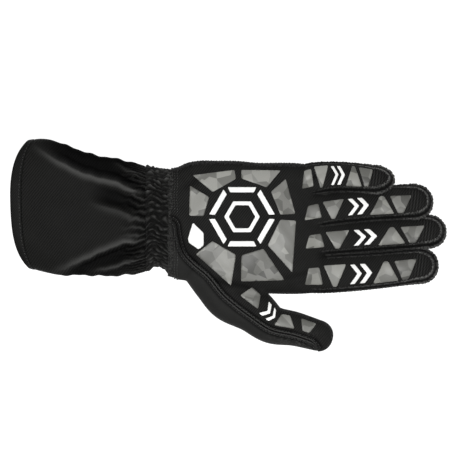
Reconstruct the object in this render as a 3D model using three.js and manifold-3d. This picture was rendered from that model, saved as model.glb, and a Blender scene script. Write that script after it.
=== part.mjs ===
// A karting glove for the right hand, lying palm up with its fingers along +X and its thumb towards -Y.
// A flared gauntlet with a bound hem and a gathered wrist band leads to a hollow hand, which is sewn from a
// palm panel and a back panel. The panels meet in raised outside seams that run round every finger.
// Shards of silicone grip print stand on the palm and the fingers. Lengths are in millimetres.
import * as THREE from "three";
import { mergeVertices } from "three/addons/utils/BufferGeometryUtils.js";
import Module from "manifold-3d";

const wasm = await Module();
wasm.setup();

// Gauntlet
const gauntletLength = 105.6;
const gauntletWidth = 104;
const gauntletHeight = 27;
const gauntletWall = 1.3;
const gauntletLean = 11.4;
const mouthCorner = 12;
const mouthBow = 6.5;
const mouthPeak = 0.145;
const foldHeight = 3.2;

// Hem round the mouth
const hemWidth = 8.5;
const hemProud = 0.5;
const hemInset = 0.6;

// Gathered wrist band
const wristLength = 19.2;
const wristWidth = 77;
const wristHeight = 21;
const wristWall = 1.5;
const wristCentre = 7.6;
const gatherDepth = 1.3;
const gatherCount = 28;
const elasticRows = 3;

// Hand
const palmLength = 118;
const palmWidth = 102;
const palmHeight = 23.5;
const panelWall = 1.5;
const knuckleSlant = 8;

// Thumb
const thumbLength = 120;
const thumbWidth = 42;
const thumbHeight = 19.5;
const thumbTip = 12.5;

// Fingers: the section at the root lies inside the hand
const fingerOverlap = 20;
const fingerRoot = palmLength - fingerOverlap;
const fingerHeight = 13.6;
const fingerTip = 15;

// Outside seams
const seamWidth = 2.6;
const seamThickness = 1.4;
const sideSeam = 1.3;
const weltWidth = 2.2;
const weltHeight = 0.9;

// Grip print
const padThickness = 0.7;

// Clearances and the flattening where cloth rests on the floor
const pieceGap = 0.3;
const flatten = 1.1;
const axisShare = 0.43;
const roundness = 2.4;
const fingerRoundness = 1.85;
const tipRoundness = 2.2;

// Faces round a section and along a length
const gauntletSides = 30;
const gauntletSteps = 8;
const palmSides = 24;
const palmSteps = 9;
const fingerSides = 12;
const fingerSteps = 5;
const tipSteps = 3;
const thumbSides = 14;
const thumbSteps = 7;

// Gauntlet outline, from the mouth to the wrist band. flare goes from the wrist's width to the gauntlet's,
// lean is the share of the sideways lean, rise goes from the wrist's height to the gauntlet's
const gauntletRows = [
  { at: 0, flare: 0.8, lean: 1, rise: 0.7 },
  { at: 0.17, flare: 0.97, lean: 0.94, rise: 0.9 },
  { at: 0.26, flare: 1, lean: 0.84, rise: 1 },
  { at: 0.35, flare: 0.96, lean: 0.67, rise: 1 },
  { at: 0.44, flare: 0.86, lean: 0.54, rise: 1 },
  { at: 0.57, flare: 0.67, lean: 0.32, rise: 0.9 },
  { at: 0.7, flare: 0.59, lean: 0.16, rise: 0.75 },
  { at: 0.83, flare: 0.47, lean: 0.09, rise: 0.5 },
  { at: 0.92, flare: 0.34, lean: 0.02, rise: 0.25 },
  { at: 1, flare: 0.12, lean: 0, rise: 0.05 },
];

// Folds that run from the band into the gauntlet: a start and an end, each as a share of the length and of
// the half width, the height as a share of foldHeight and the breadth as a share of the half width
const foldRows = [
  { from: 0.16, side: 0.84, to: 1, endSide: 0.42, height: 1, breadth: 0.13 },
  { from: 0.34, side: 0.93, to: 0.98, endSide: 0.62, height: -0.75, breadth: 0.13 },
  { from: 0.7, side: 0.34, to: 1, endSide: 0.24, height: -0.6, breadth: 0.12 },
  { from: 0.3, side: -0.9, to: 1, endSide: -0.42, height: 0.9, breadth: 0.13 },
  { from: 0.6, side: -0.78, to: 1, endSide: -0.6, height: -0.7, breadth: 0.1 },
  { from: 0.62, side: -0.95, to: 1, endSide: -0.78, height: 0.6, breadth: 0.1 },
];

// Wrist band: flare as a share of the gauntlet's, shift sideways as a share of the wrist's width
const wristRows = [
  { at: 0, flare: 0.12, shift: 0 },
  { at: 0.5, flare: -0.09, shift: 0.014 },
  { at: 0.8, flare: 0, shift: -0.006 },
  { at: 1, flare: 0.16, shift: -0.03 },
];

// Hand, from the band to the roots of the fingers, as shares of the palm's width and height
const palmRows = [
  { at: 0, centre: 0.044, width: 0.815, height: 0.89, slant: 0 },
  { at: 0.05, centre: 0.036, width: 0.85, height: 0.92, slant: 0 },
  { at: 0.1, centre: 0.046, width: 0.885, height: 0.94, slant: 0 },
  { at: 0.19, centre: 0.042, width: 0.933, height: 0.98, slant: 0.05 },
  { at: 0.31, centre: 0.026, width: 0.965, height: 1, slant: 0.1 },
  { at: 0.45, centre: 0.014, width: 0.986, height: 1, slant: 0.2 },
  { at: 0.6, centre: 0.002, width: 0.982, height: 0.96, slant: 0.4 },
  { at: 0.78, centre: 0, width: 0.986, height: 0.88, slant: 0.7 },
  { at: 0.9, centre: 0.002, width: 0.975, height: 0.79, slant: 0.9 },
  { at: 0.97, centre: 0.004, width: 0.95, height: 0.64, slant: 1 },
  { at: 1, centre: 0.004, width: 0.92, height: 0.48, slant: 1 },
];

// Thumb, from inside the hand to the base of the tip, as shares of the palm's size for the place of its
// axis and of the thumb's for its section. seam is where the palm panel ends, as a share of the half width
const thumbRows = [
  { at: 0, along: 0.185, across: -0.264, width: 0.76, height: 0.96, seam: -0.2 },
  { at: 0.16, along: 0.296, across: -0.393, width: 0.9, height: 1, seam: -0.2 },
  { at: 0.34, along: 0.407, across: -0.513, width: 1, height: 1, seam: -0.2 },
  { at: 0.52, along: 0.542, across: -0.615, width: 0.84, height: 0.97, seam: -0.28 },
  { at: 0.69, along: 0.669, across: -0.728, width: 0.7, height: 0.93, seam: -0.26 },
  { at: 0.84, along: 0.814, across: -0.767, width: 0.625, height: 0.9, seam: -0.34 },
  { at: 1, along: 0.962, across: -0.815, width: 0.565, height: 0.86, seam: -0.45 },
];

// Where the palm panel's edge runs from the band to the thumb, as shares of the palm's length and width
const heelRows = [
  { along: -0.03, across: 0.075 },
  { along: 0.026, across: 0.058 },
  { along: 0.053, across: -0.065 },
  { along: 0.086, across: -0.187 },
  { along: 0.158, across: -0.279 },
  { along: 0.231, across: -0.348 },
];

// One row for each finger. root and tip are its ends across the palm and bow its sideways bend, as shares
// of the palm's width
const fingerRows = [
  { name: "little", length: 77, width: 24.5, taper: 0.86, root: 0.36, tip: 0.337, bow: 0.043 },
  { name: "ring", length: 107, width: 25.5, taper: 0.98, root: 0.125, tip: 0.2, bow: 0.02 },
  { name: "middle", length: 117.5, width: 24.5, taper: 0.98, root: -0.09, tip: -0.01, bow: 0 },
  { name: "index", length: 111.5, width: 26, taper: 0.9, root: -0.35, tip: -0.258, bow: -0.02 },
];

// How each finger lies: roll is in degrees and lays its near edge over the next finger, and far is how far
// its grip print reaches towards the finger that lies over it, as a share of the half width
const fingerLay = {
  little: { lift: 6.2, roll: 19, far: 0.7 },
  ring: { lift: 3, roll: 17, far: 0.3 },
  middle: { lift: 1.3, roll: 16, far: 0.3 },
  index: { lift: 0, roll: 6, far: 0.45 },
};

// Section of a finger along its straight length, before the tip
const fingerProfile = [
  { at: 0, width: 0.9, height: 0.95, lift: 0, roll: 0 },
  { at: 0.2, width: 1, height: 1, lift: 0.7, roll: 0.7 },
  { at: 0.4, width: 1.02, height: 1, lift: 0.95, roll: 1 },
  { at: 0.7, width: 1.01, height: 0.97, lift: 1, roll: 1 },
  { at: 1, width: 1, height: 0.9, lift: 1.05, roll: 1 },
];

// Print on the palm: shapes in a ring about the hexagon's middle. start and end are in degrees. inner,
// outer and outerEnd are radii as shares of the palm's width, outer at the start and outerEnd at the end
const hexagon = { along: 0.47, across: 0.09 };
const hexagonPad = { inner: 0.1, outer: 0.135, corners: 6 };
const hexagonBars = { inner: 0.205, outer: 0.25, margin: 4 };
const palmPads = [
  { name: "palm_grip_1", start: -48, end: -4, inner: 0.29, outer: 0.57, outerEnd: 0.41, tone: "light" },
  { name: "palm_grip_2", start: 3, end: 41, inner: 0.29, outer: 0.405, outerEnd: 0.44, tone: "mid" },
  { name: "palm_grip_3", start: 50, end: 91, inner: 0.29, outer: 0.46, outerEnd: 0.355, tone: "light" },
  { name: "palm_grip_4", start: 99, end: 140, inner: 0.29, outer: 0.36, outerEnd: 0.49, tone: "light" },
  { name: "palm_grip_5", start: 149, end: 179, inner: 0.29, outer: 0.46, outerEnd: 0.4, tone: "mid" },
  { name: "palm_patch", start: 190, end: 209, inner: 0.33, outer: 0.44, outerEnd: 0.42, tone: "white" },
  { name: "palm_grip_6", start: 219, end: 261, inner: 0.29, outer: 0.45, outerEnd: 0.53, tone: "mid" },
  { name: "palm_grip_7", start: 269, end: 304, inner: 0.29, outer: 0.49, outerEnd: 0.58, tone: "dark" },
];

// Grip print on every finger. from and to are shares of the finger's length, near and far are shares of the
// half width, and lean slants the ends as a share of the length. A chevron is bent at its middle by bend
const fingerPads = [
  { name: "root_grip", from: 0.08, to: 0.2, near: 0.8, far: 0.8, lean: 0.015, bend: 0, tone: "mid" },
  { name: "lower_grip", from: 0.26, to: 0.37, near: 1, far: 1, lean: -0.04, bend: 0, tone: "light" },
  { name: "chevron_1", from: 0.44, to: 0.48, near: 0.9, far: 0.9, lean: 0, bend: 0.06, tone: "white" },
  { name: "chevron_2", from: 0.52, to: 0.565, near: 0.9, far: 0.9, lean: 0, bend: 0.06, tone: "white" },
  { name: "upper_grip", from: 0.675, to: 0.8, near: 1, far: 1, lean: 0.045, bend: 0, tone: "mid" },
  { name: "tip_grip", from: 0.84, to: 0.96, near: 1, far: 0.9, lean: -0.035, bend: 0, tone: "dark" },
];

// Grip print on the thumb, in the same columns
const thumbPads = [
  { name: "root_grip", from: 0.4, to: 0.52, near: 0.2, far: 0.75, lean: 0.02, bend: 0, tone: "dark" },
  { name: "chevron_1", from: 0.56, to: 0.59, near: 0.1, far: 0.8, lean: 0, bend: 0.035, tone: "white" },
  { name: "chevron_2", from: 0.62, to: 0.65, near: 0.1, far: 0.8, lean: 0, bend: 0.035, tone: "white" },
  { name: "upper_grip", from: 0.72, to: 0.82, near: 0.05, far: 0.75, lean: 0.02, bend: 0, tone: "light" },
  { name: "tip_grip", from: 0.88, to: 0.96, near: 0.05, far: 0.75, lean: -0.015, bend: 0, tone: "mid" },
];

const tones = { light: 0x94948f, mid: 0x7b7b77, dark: 0x646461, white: 0xf0f0ee };

// A smooth curve through one column of a table
function column(rows, key) {
  return (at) => {
    const last = rows.length - 1;
    let i = 0;
    while (i < last - 1 && at > rows[i + 1].at) i++;
    const a = rows[i];
    const b = rows[i + 1];
    const before = rows[Math.max(i - 1, 0)];
    const after = rows[Math.min(i + 2, last)];
    const span = b.at - a.at;
    const slopeA = ((b[key] - before[key]) / (b.at - before.at)) * span;
    const slopeB = ((after[key] - a[key]) / (after.at - a.at)) * span;
    const t = Math.min(Math.max((at - a.at) / span, 0), 1);
    const t2 = t * t;
    const t3 = t2 * t;
    return (
      a[key] * (2 * t3 - 3 * t2 + 1) + slopeA * (t3 - 2 * t2 + t) +
      b[key] * (3 * t2 - 2 * t3) + slopeB * (t3 - t2)
    );
  };
}

function columns(rows) {
  const curves = Object.keys(rows[0])
    .filter((key) => key !== "at")
    .map((key) => [key, column(rows, key)]);
  return (at) => Object.fromEntries(curves.map(([key, curve]) => [key, curve(at)]));
}

function blend(a, b, share) {
  return a + (b - a) * share;
}

function steps(count) {
  return Array.from({ length: count + 1 }, (_, i) => i / count);
}

// The point of a rounded section at an angle, as shares of its half width and half height
function rounded(angle, power = roundness) {
  const c = Math.cos(angle);
  const s = Math.sin(angle);
  return [Math.sign(c) * Math.abs(c) ** (2 / power), Math.sign(s) * Math.abs(s) ** (2 / power)];
}

// Meshes from rings of points
function solidOf(points, faces) {
  const geometry = new THREE.BufferGeometry();
  const positions = points.flatMap((p) => [p.x, p.y, p.z]);
  geometry.setAttribute("position", new THREE.Float32BufferAttribute(positions, 3));
  geometry.setIndex(faces.flat());
  const merged = mergeVertices(geometry, 1e-4);
  const solid = new wasm.Manifold(
    new wasm.Mesh({
      numProp: 3,
      vertProperties: merged.attributes.position.array,
      triVerts: new Uint32Array(merged.index.array),
    }),
  );
  return solid;
}

// The faces between neighbouring rings of equal length, turned outwards for rings that run towards +X
function skin(rings, base, faces, inwards) {
  const count = rings[0].length;
  for (let i = 0; i < rings.length - 1; i++) {
    for (let j = 0; j < count; j++) {
      const a = base + i * count + j;
      const b = base + i * count + ((j + 1) % count);
      const c = a + count;
      const d = b + count;
      if (inwards) faces.push([a, c, b], [b, c, d]);
      else faces.push([a, b, c], [b, d, c]);
    }
  }
}

// A solid through rings, closed by a flat or slightly domed face at each end
function loft(rings) {
  const count = rings[0].length;
  const points = rings.flat();
  const faces = [];
  skin(rings, 0, faces, false);
  for (const [ring, start, ahead] of [[rings[0], 0, false], [rings.at(-1), points.length - count, true]]) {
    const centre = new THREE.Vector3();
    for (const p of ring) centre.addScaledVector(p, 1 / count);
    const hub = points.push(centre) - 1;
    for (let j = 0; j < count; j++) {
      const a = start + j;
      const b = start + ((j + 1) % count);
      faces.push(ahead ? [hub, a, b] : [hub, b, a]);
    }
  }
  return solidOf(points, faces);
}

// An open sleeve between outer and inner rings
function sleeve(outer, inner) {
  const count = outer[0].length;
  const points = [...outer.flat(), ...inner.flat()];
  const base = outer.length * count;
  const faces = [];
  skin(outer, 0, faces, false);
  skin(inner, base, faces, true);
  const outerEnd = (outer.length - 1) * count;
  const innerEnd = base + (inner.length - 1) * count;
  for (let j = 0; j < count; j++) {
    const k = (j + 1) % count;
    faces.push([j, base + j, k], [k, base + j, base + k]);
    faces.push([outerEnd + j, outerEnd + k, innerEnd + j], [outerEnd + k, innerEnd + k, innerEnd + j]);
  }
  return solidOf(points, faces);
}

// An upright prism over an outline in plan
function prism(outline, low, high) {
  const shape = new THREE.Shape(outline.map((p) => new THREE.Vector2(p.x, p.y)));
  const geometry = new THREE.ExtrudeGeometry(shape, { depth: high - low, bevelEnabled: false });
  geometry.deleteAttribute("normal");
  geometry.deleteAttribute("uv");
  geometry.translate(0, 0, low);
  const merged = mergeVertices(geometry, 1e-4);
  return new wasm.Manifold(
    new wasm.Mesh({
      numProp: 3,
      vertProperties: merged.attributes.position.array,
      triVerts: new Uint32Array(merged.index.array),
    }),
  );
}

// Gauntlet and wrist
const gauntletAt = columns(gauntletRows);
const wristAt = columns(wristRows);
const mouthX = -(gauntletLength + wristLength);
const wristX = -wristLength;

function smooth(low, high, value) {
  const t = Math.min(Math.max((value - low) / (high - low), 0), 1);
  return t * t * (3 - 2 * t);
}

// How far the folds lift the palm side of the gauntlet
function foldLift(at, side) {
  let lift = 0;
  for (const fold of foldRows) {
    const t = (at - fold.from) / (fold.to - fold.from);
    const line = blend(fold.side, fold.endSide, Math.min(Math.max(t, 0), 1));
    const reach = smooth(0, 0.5, t);
    lift += foldHeight * fold.height * reach * Math.exp(-(((side - line) / fold.breadth) ** 2));
  }
  return lift;
}

// One ring of the gauntlet, moved out by proud from the cloth's outer face. at runs from mouth to band
function gauntletRing(at, proud) {
  const row = gauntletAt(at);
  const halfWidth = blend(wristWidth, gauntletWidth, row.flare) / 2 + proud;
  const height = blend(wristHeight, gauntletHeight, row.rise);
  const axis = height * axisShare;
  const open = Math.max(1 - at / 0.5, 0) ** 2;
  const mouthCurve = (c) => mouthCorner * Math.abs(c) ** 4.5 + mouthBow * (c - mouthPeak) ** 2;
  return Array.from({ length: gauntletSides }, (_, j) => {
    const [c, s] = rounded((2 * Math.PI * j) / gauntletSides);
    const half = s > 0 ? height - axis + proud + foldLift(at, c) * s : axis + flatten + proud;
    return new THREE.Vector3(
      mouthX + at * gauntletLength + open * mouthCurve(c),
      wristCentre + gauntletLean * row.lean + halfWidth * c,
      Math.max(axis + half * s, -Math.min(proud, 0)),
    );
  });
}

function makeGauntlet() {
  const start = (hemWidth + pieceGap) / gauntletLength;
  const shares = steps(gauntletSteps).map((t) => blend(start, 1, t));
  return sleeve(
    shares.map((at) => gauntletRing(at, 0)),
    shares.map((at) => gauntletRing(at, -gauntletWall)),
  );
}

function makeHem() {
  const end = hemWidth / gauntletLength;
  const edge = Math.min(hemProud, hemWidth / 4) / gauntletLength;
  const profile = [[0, 0], [edge, hemProud], [end - edge, hemProud], [end, 0]];
  const outer = profile.map(([at, proud]) => gauntletRing(at, proud));
  const inner = [0, end].map((at) => gauntletRing(at, -gauntletWall - hemInset));
  return sleeve(outer, inner);
}

// The gathers stand up between the rows of elastic thread
const wristSides = gatherCount * 2;

function wristRing(at, proud, gathered) {
  const row = wristAt(at);
  const halfWidth = blend(wristWidth, gauntletWidth, row.flare) / 2 + proud;
  const axis = wristHeight * axisShare;
  const swell = 0.35 + 0.65 * Math.abs(Math.sin(Math.PI * elasticRows * at));
  return Array.from({ length: wristSides }, (_, j) => {
    const angle = (2 * Math.PI * j) / wristSides;
    const pucker = gathered ? gatherDepth * swell * (0.5 + 0.5 * Math.cos(angle * gatherCount)) : 0;
    const [c, s] = rounded(angle);
    const half = s > 0 ? wristHeight - axis + proud + pucker : axis + flatten + proud + pucker;
    return new THREE.Vector3(
      wristX + pieceGap + at * (wristLength - 2 * pieceGap),
      wristCentre + row.shift * wristWidth + (halfWidth + pucker) * c,
      Math.max(axis + half * s, -Math.min(proud, 0)),
    );
  });
}

function makeWrist() {
  return sleeve(
    steps(elasticRows * 2).map((at) => wristRing(at, 0, true)),
    steps(2).map((at) => wristRing(at, -wristWall, false)),
  );
}

// Stations of the hand, the fingers and the thumb: a centre, two directions and the sizes of the section
const up = new THREE.Vector3(0, 0, 1);

function handStations() {
  const palmAt = columns(palmRows);
  return steps(palmSteps).map((share) => {
    const at = share < 0.8 ? share : blend(0.8, 1, ((share - 0.8) / 0.2) ** 0.7);
    const row = palmAt(at);
    const height = palmHeight * row.height;
    const axis = palmHeight * axisShare;
    return {
      centre: new THREE.Vector3(at * palmLength, row.centre * palmWidth, axis),
      side: new THREE.Vector3(0, 1, 0),
      top: up,
      halfWidth: (row.width * palmWidth) / 2,
      rise: Math.max(height - axis, 3 * panelWall),
      drop: axis * Math.min(row.height + 0.15, 1) + flatten,
      slant: row.slant * knuckleSlant,
      seamWidth: sideSeam,
    };
  });
}

// The rounded tip of a finger or thumb, beyond its last station. The seam reaches further than the body
function tipStations(last, ahead, length, seam) {
  const shrinkAt = (reach) =>
    Math.max((1 - Math.min(reach, 1) ** tipRoundness) ** (1 / tipRoundness), 0.12);
  const stations = steps(tipSteps).slice(1).map((t) => {
    const along = length * Math.sin((t * Math.PI) / 2);
    const shrink = shrinkAt(along / length);
    const outer = (last.halfWidth + seam) * shrinkAt(along / (length + seam));
    return {
      ...last,
      centre: last.centre.clone().addScaledVector(ahead, along),
      straight: false,
      halfWidth: last.halfWidth * shrink,
      seamWidth: outer - last.halfWidth * shrink,
      rise: last.rise * blend(shrink, 1, 0.15),
      drop: last.drop * blend(shrink, 1, 0.15),
    };
  });
  if (!seam) return stations.map((station) => ({ ...station, seamWidth: 0 }));
  const end = { ...stations.at(-1), centre: last.centre.clone().addScaledVector(ahead, length + seam) };
  end.seamWidth = last.halfWidth * 0.25;
  end.rise = end.drop = seamThickness / 2;
  return [...stations, end];
}

function fingerStations(finger) {
  const profileAt = columns(fingerProfile);
  const straight = finger.length - fingerTip - seamWidth;
  const stations = steps(fingerSteps).map((at) => {
    const row = profileAt(at);
    const share = (at * straight) / finger.length;
    const height = fingerHeight * row.height;
    const axis = blend(palmHeight * axisShare, fingerHeight / 2 - flatten / 2, smooth(0, 0.6, at));
    const roll = THREE.MathUtils.degToRad(finger.roll * row.roll);
    const place = blend(finger.root, finger.tip, share) + finger.bow * 4 * share * (1 - share);
    const lifted = axis + finger.lift * row.lift;
    return {
      centre: new THREE.Vector3(fingerRoot + at * straight, place * palmWidth, lifted),
      side: new THREE.Vector3(0, Math.cos(roll), -Math.sin(roll)),
      top: new THREE.Vector3(0, Math.sin(roll), Math.cos(roll)),
      halfWidth: (finger.width * row.width * blend(1, finger.taper, at)) / 2,
      rise: height / 2,
      drop: height / 2,
      slant: 0,
      straight: true,
      power: fingerRoundness,
      seamWidth: seamWidth * blend(0.2, 1, smooth(0, 0.35, at)),
    };
  });
  const last = stations.at(-1);
  return [...stations, ...tipStations(last, new THREE.Vector3(1, 0, 0), fingerTip, seamWidth)];
}

function thumbStations() {
  const thumbAt = columns(thumbRows);
  const place = (at) => {
    const row = thumbAt(at);
    return new THREE.Vector3(row.along * palmLength, row.across * palmWidth, thumbHeight * axisShare);
  };
  const root = place(0);
  const stretch = (thumbLength - thumbTip) / place(1).sub(root).length();
  const stations = steps(thumbSteps).map((at) => {
    const row = thumbAt(at);
    const ahead = place(Math.min(at + 0.02, 1)).sub(place(Math.max(at - 0.02, 0))).normalize();
    const height = thumbHeight * row.height;
    const axis = blend(palmHeight, thumbHeight, smooth(0.2, 0.7, at)) * axisShare;
    const centre = place(at).sub(root).multiplyScalar(stretch).add(root);
    return {
      centre: centre.setZ(axis),
      side: new THREE.Vector3(-ahead.y, ahead.x, 0),
      ahead,
      top: up,
      halfWidth: (thumbWidth * row.width) / 2,
      rise: height - thumbHeight * axisShare,
      drop: axis + flatten * 0.6,
      slant: 0,
      straight: true,
      seamWidth: 0,
      seam: row.seam,
    };
  });
  const last = stations.at(-1);
  return [...stations, ...tipStations(last, last.ahead, thumbTip, 0)];
}

// A point of a station, u across it and w above its axis, kept above the floor
function onStation(station, u, w, floor = 0) {
  const p = station.centre.clone().addScaledVector(station.side, u).addScaledVector(station.top, w);
  p.x -= (station.slant * u) / station.halfWidth;
  p.z = Math.max(p.z, floor);
  return p;
}

function fullRings(stations, sides, inset) {
  return stations.map((station) =>
    Array.from({ length: sides }, (_, j) => {
      const [c, s] = rounded((2 * Math.PI * j) / sides, station.power);
      const half = (s > 0 ? station.rise : station.drop) - inset;
      return onStation(station, (station.halfWidth - inset) * c, half * s, inset);
    }),
  );
}

// The palm side or the back side of a limb, parted at the seam. Its half of the outside seam stands out
// flat beside it and ahead of its tip
function halfSolid(limb, palmSide, parting) {
  const { stations, sides } = limb;
  const facing = palmSide ? 1 : -1;
  const face = (facing * seamThickness) / 2;
  const seamed = parting !== undefined;
  const edge = seamed ? facing * parting : -facing * panelWall;
  const start = palmSide ? 0 : Math.PI;
  const rings = stations.map((station) => {
    const shrunk = !seamed || station.seamWidth === 0;
    const outer = station.halfWidth + (shrunk ? 0 : station.seamWidth);
    const ring = Array.from({ length: sides / 2 - 1 }, (_, j) => {
      const [c, s] = rounded(start + (2 * Math.PI * (j + 1)) / sides, station.power);
      const w = s * (s > 0 ? station.rise : station.drop);
      const height = shrunk ? w : facing * Math.max(w * facing, face * facing);
      return onStation(station, station.halfWidth * c, height);
    });
    const corners = [facing, -facing].map((end) => [
      onStation(station, end * outer * (seamed ? 1 : 0.98), edge),
      ...(shrunk ? [] : [onStation(station, end * outer, face)]),
    ]);
    return [...corners[0], ...ring, ...corners[1].reverse()];
  });
  return loft(rings);
}

// A cavity follows the outside at the wall's distance and stops short of the tip
function cavity(stations, sides, wall, openStart) {
  const kept = stations.filter((station) => station.halfWidth > 2.5 * wall);
  if (openStart) kept[0] = { ...kept[0], centre: kept[0].centre.clone().setX(-2 * wall) };
  return loft(fullRings(kept, sides, wall));
}

const hand = handStations();
const thumb = thumbStations();
const fingers = fingerRows.map((row) => {
  const finger = { ...row, ...fingerLay[row.name] };
  return { ...finger, stations: fingerStations(finger) };
});
const limbs = [
  { stations: hand, sides: palmSides },
  { stations: thumb, sides: thumbSides },
  ...fingers.map((finger) => ({ stations: finger.stations, sides: fingerSides })),
];

function union(solids) {
  return solids.reduce((sum, solid) => sum.add(solid));
}

const palmSolid = union(limbs.map((limb) => halfSolid(limb, true, pieceGap / 2)));
const backSolid = union(limbs.map((limb) => halfSolid(limb, false, pieceGap / 2)));
const hollow = union([
  cavity(hand, palmSides, panelWall, true),
  cavity(thumb, thumbSides, panelWall, false),
  ...fingers.map((finger) => cavity(finger.stations, fingerSides, panelWall, false)),
]);

// The palm panel ends on this line across the heel and along the thumb, and the back panel wraps round
// to it
function heelLine(offset) {
  const heel = heelRows.map((row) => {
    return new THREE.Vector3(row.along * palmLength + offset, row.across * palmWidth + offset, 0);
  });
  const straight = thumb.filter((station) => station.straight);
  const along = straight.slice(2).map((station) => {
    const across = station.seam * station.halfWidth + offset;
    return station.centre.clone().addScaledVector(station.side, across).setZ(0);
  });
  const last = straight.at(-1);
  const exit = last.centre.clone().addScaledVector(last.ahead, thumbTip * 0.8 + offset);
  along.push(exit.addScaledVector(last.side, offset - 1.4 * last.halfWidth).setZ(0));
  return [...heel, ...along];
}

const far = 3 * palmWidth;

function wrapPrism(offset, low) {
  const line = heelLine(offset);
  const ends = [line.at(-1), line[0]].map((p) => new THREE.Vector3(p.x, -far, 0));
  return prism([...line, ...ends], low, far);
}

// The main body of a piece, without the slivers that trimming leaves
function largest(solid) {
  return solid.decompose().reduce((kept, body) => (body.volume() > kept.volume() ? body : kept));
}

// The raised welt is sewn along the palm panel's edge
const weltStrip = wrapPrism(pieceGap + weltWidth, -1).subtract(wrapPrism(pieceGap, -2));
const palmBodies = union(limbs.map((limb) => halfSolid(limb, true)));
const heelBodies = union(limbs.slice(0, 2).map((limb) => halfSolid(limb, true)));
const welt = weltStrip
  .intersect(heelBodies.translate([0, 0, weltHeight]))
  .subtract(heelBodies.translate([0, 0, -1]));
const wrapped = heelBodies.intersect(wrapPrism(0, -2));
const palmOuter = palmSolid.add(welt).subtract(wrapPrism(pieceGap, -1));
const palmPanel = largest(palmOuter.subtract(hollow));
const palmClearance = palmOuter.add(palmOuter.translate([0, 0, -0.8 * pieceGap]));
const backPanel = largest(backSolid.add(wrapped).subtract(hollow).subtract(palmClearance));

// Grip print: an outline in plan lifts a thin plate off the panel's own surface
function plateOver(body, outline) {
  const column = prism(outline, 0, far);
  const raised = body.translate([0, 0, pieceGap + padThickness]);
  return largest(raised.intersect(column).subtract(body.translate([0, 0, pieceGap])));
}

function polar(radius, degrees) {
  const angle = THREE.MathUtils.degToRad(degrees);
  return new THREE.Vector3(
    hexagon.along * palmLength + radius * palmWidth * Math.cos(angle),
    hexagon.across * palmWidth + radius * palmWidth * Math.sin(angle),
    0,
  );
}

function palmPlate(pad) {
  const outline = [
    polar(pad.inner, pad.start),
    polar(pad.outer, pad.start),
    polar(pad.outerEnd, pad.end),
    polar(pad.inner, pad.end),
  ];
  return plateOver(palmBodies, outline);
}

// The white hexagon in the middle and the bars round it, one along each of its sides
function hexagonPlate() {
  const turn = 360 / hexagonPad.corners;
  const angles = Array.from({ length: hexagonPad.corners }, (_, i) => i * turn);
  const plate = plateOver(palmBodies, angles.map((angle) => polar(hexagonPad.outer, angle)));
  return plate.subtract(prism(angles.map((angle) => polar(hexagonPad.inner, angle)), 0, far));
}

function barPlate(i) {
  const turn = 360 / hexagonPad.corners;
  const { inner, outer, margin } = hexagonBars;
  const start = i * turn + margin;
  const end = (i + 1) * turn - margin;
  return palmPlate({ start, end, inner, outer, outerEnd: outer });
}

// Where a share of the length and a share of the half width come to on a limb's palm side, in plan
function limbPoint(stations, at, across) {
  const spans = stations.filter((station) => station.straight).length - 1;
  const place = at * spans;
  const i = Math.min(Math.floor(place), spans - 1);
  const [a, b] = [stations[i], stations[i + 1]];
  const share = place - i;
  const height = (1 - Math.abs(across) ** (a.power ?? roundness)) ** (1 / (a.power ?? roundness));
  const [p, q] = [a, b].map((station) =>
    station.centre.clone()
      .addScaledVector(station.side, across * station.halfWidth)
      .addScaledVector(station.top, height * station.rise),
  );
  return p.lerp(q, share).setZ(0);
}

function limbPlate(stations, body, pad, near, far) {
  const middle = (near + far) / 2;
  const outline = [
    limbPoint(stations, pad.from - pad.lean, near),
    limbPoint(stations, pad.to + pad.lean, near),
    limbPoint(stations, pad.to + pad.bend, middle),
    limbPoint(stations, pad.to - pad.lean, far),
    limbPoint(stations, pad.from + pad.lean, far),
    limbPoint(stations, pad.from + pad.bend, middle),
  ];
  return plateOver(body, outline);
}

// Group of named meshes
const glove = new THREE.Group();

function addPiece(name, solid, color, roughness) {
  const mesh = solid.getMesh();
  const positions = new Float32Array(mesh.numVert * 3);
  for (let i = 0; i < mesh.numVert; i++) {
    positions.set(mesh.vertProperties.subarray(i * mesh.numProp, i * mesh.numProp + 3), i * 3);
  }
  const geometry = new THREE.BufferGeometry();
  geometry.setAttribute("position", new THREE.BufferAttribute(positions, 3));
  geometry.setIndex(new THREE.BufferAttribute(mesh.triVerts, 1));
  geometry.computeVertexNormals();
  const material = new THREE.MeshStandardMaterial({ color, roughness, metalness: 0 });
  const piece = new THREE.Mesh(geometry, material);
  piece.name = name;
  glove.add(piece);
}

addPiece("gauntlet_cuff", makeGauntlet(), 0x242424, 0.85);
addPiece("cuff_hem", makeHem(), 0x1a1a19, 0.8);
addPiece("wrist_band", makeWrist(), 0x1c1c1c, 0.85);
addPiece("palm_panel", palmPanel, 0x212120, 0.8);
addPiece("back_panel", backPanel, 0x1e1e1e, 0.75);

addPiece("hexagon_core", hexagonPlate(), tones.white, 0.5);
for (let i = 0; i < hexagonPad.corners; i++) {
  addPiece("hexagon_bar_" + (i + 1), barPlate(i), tones.white, 0.5);
}
for (const pad of palmPads) {
  addPiece(pad.name, palmPlate(pad), tones[pad.tone], 0.5);
}
for (const finger of fingers) {
  const own = halfSolid({ stations: finger.stations, sides: fingerSides }, true);
  for (const pad of fingerPads) {
    const body = pad.to <= 0.4 ? palmBodies : own;
    const plate = limbPlate(finger.stations, body, pad, -0.78 * pad.near, finger.far * pad.far);
    addPiece(finger.name + "_" + pad.name, plate, tones[pad.tone], 0.5);
  }
}
for (const pad of thumbPads) {
  addPiece("thumb_" + pad.name, limbPlate(thumb, palmBodies, pad, pad.near, pad.far), tones[pad.tone], 0.5);
}

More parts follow.
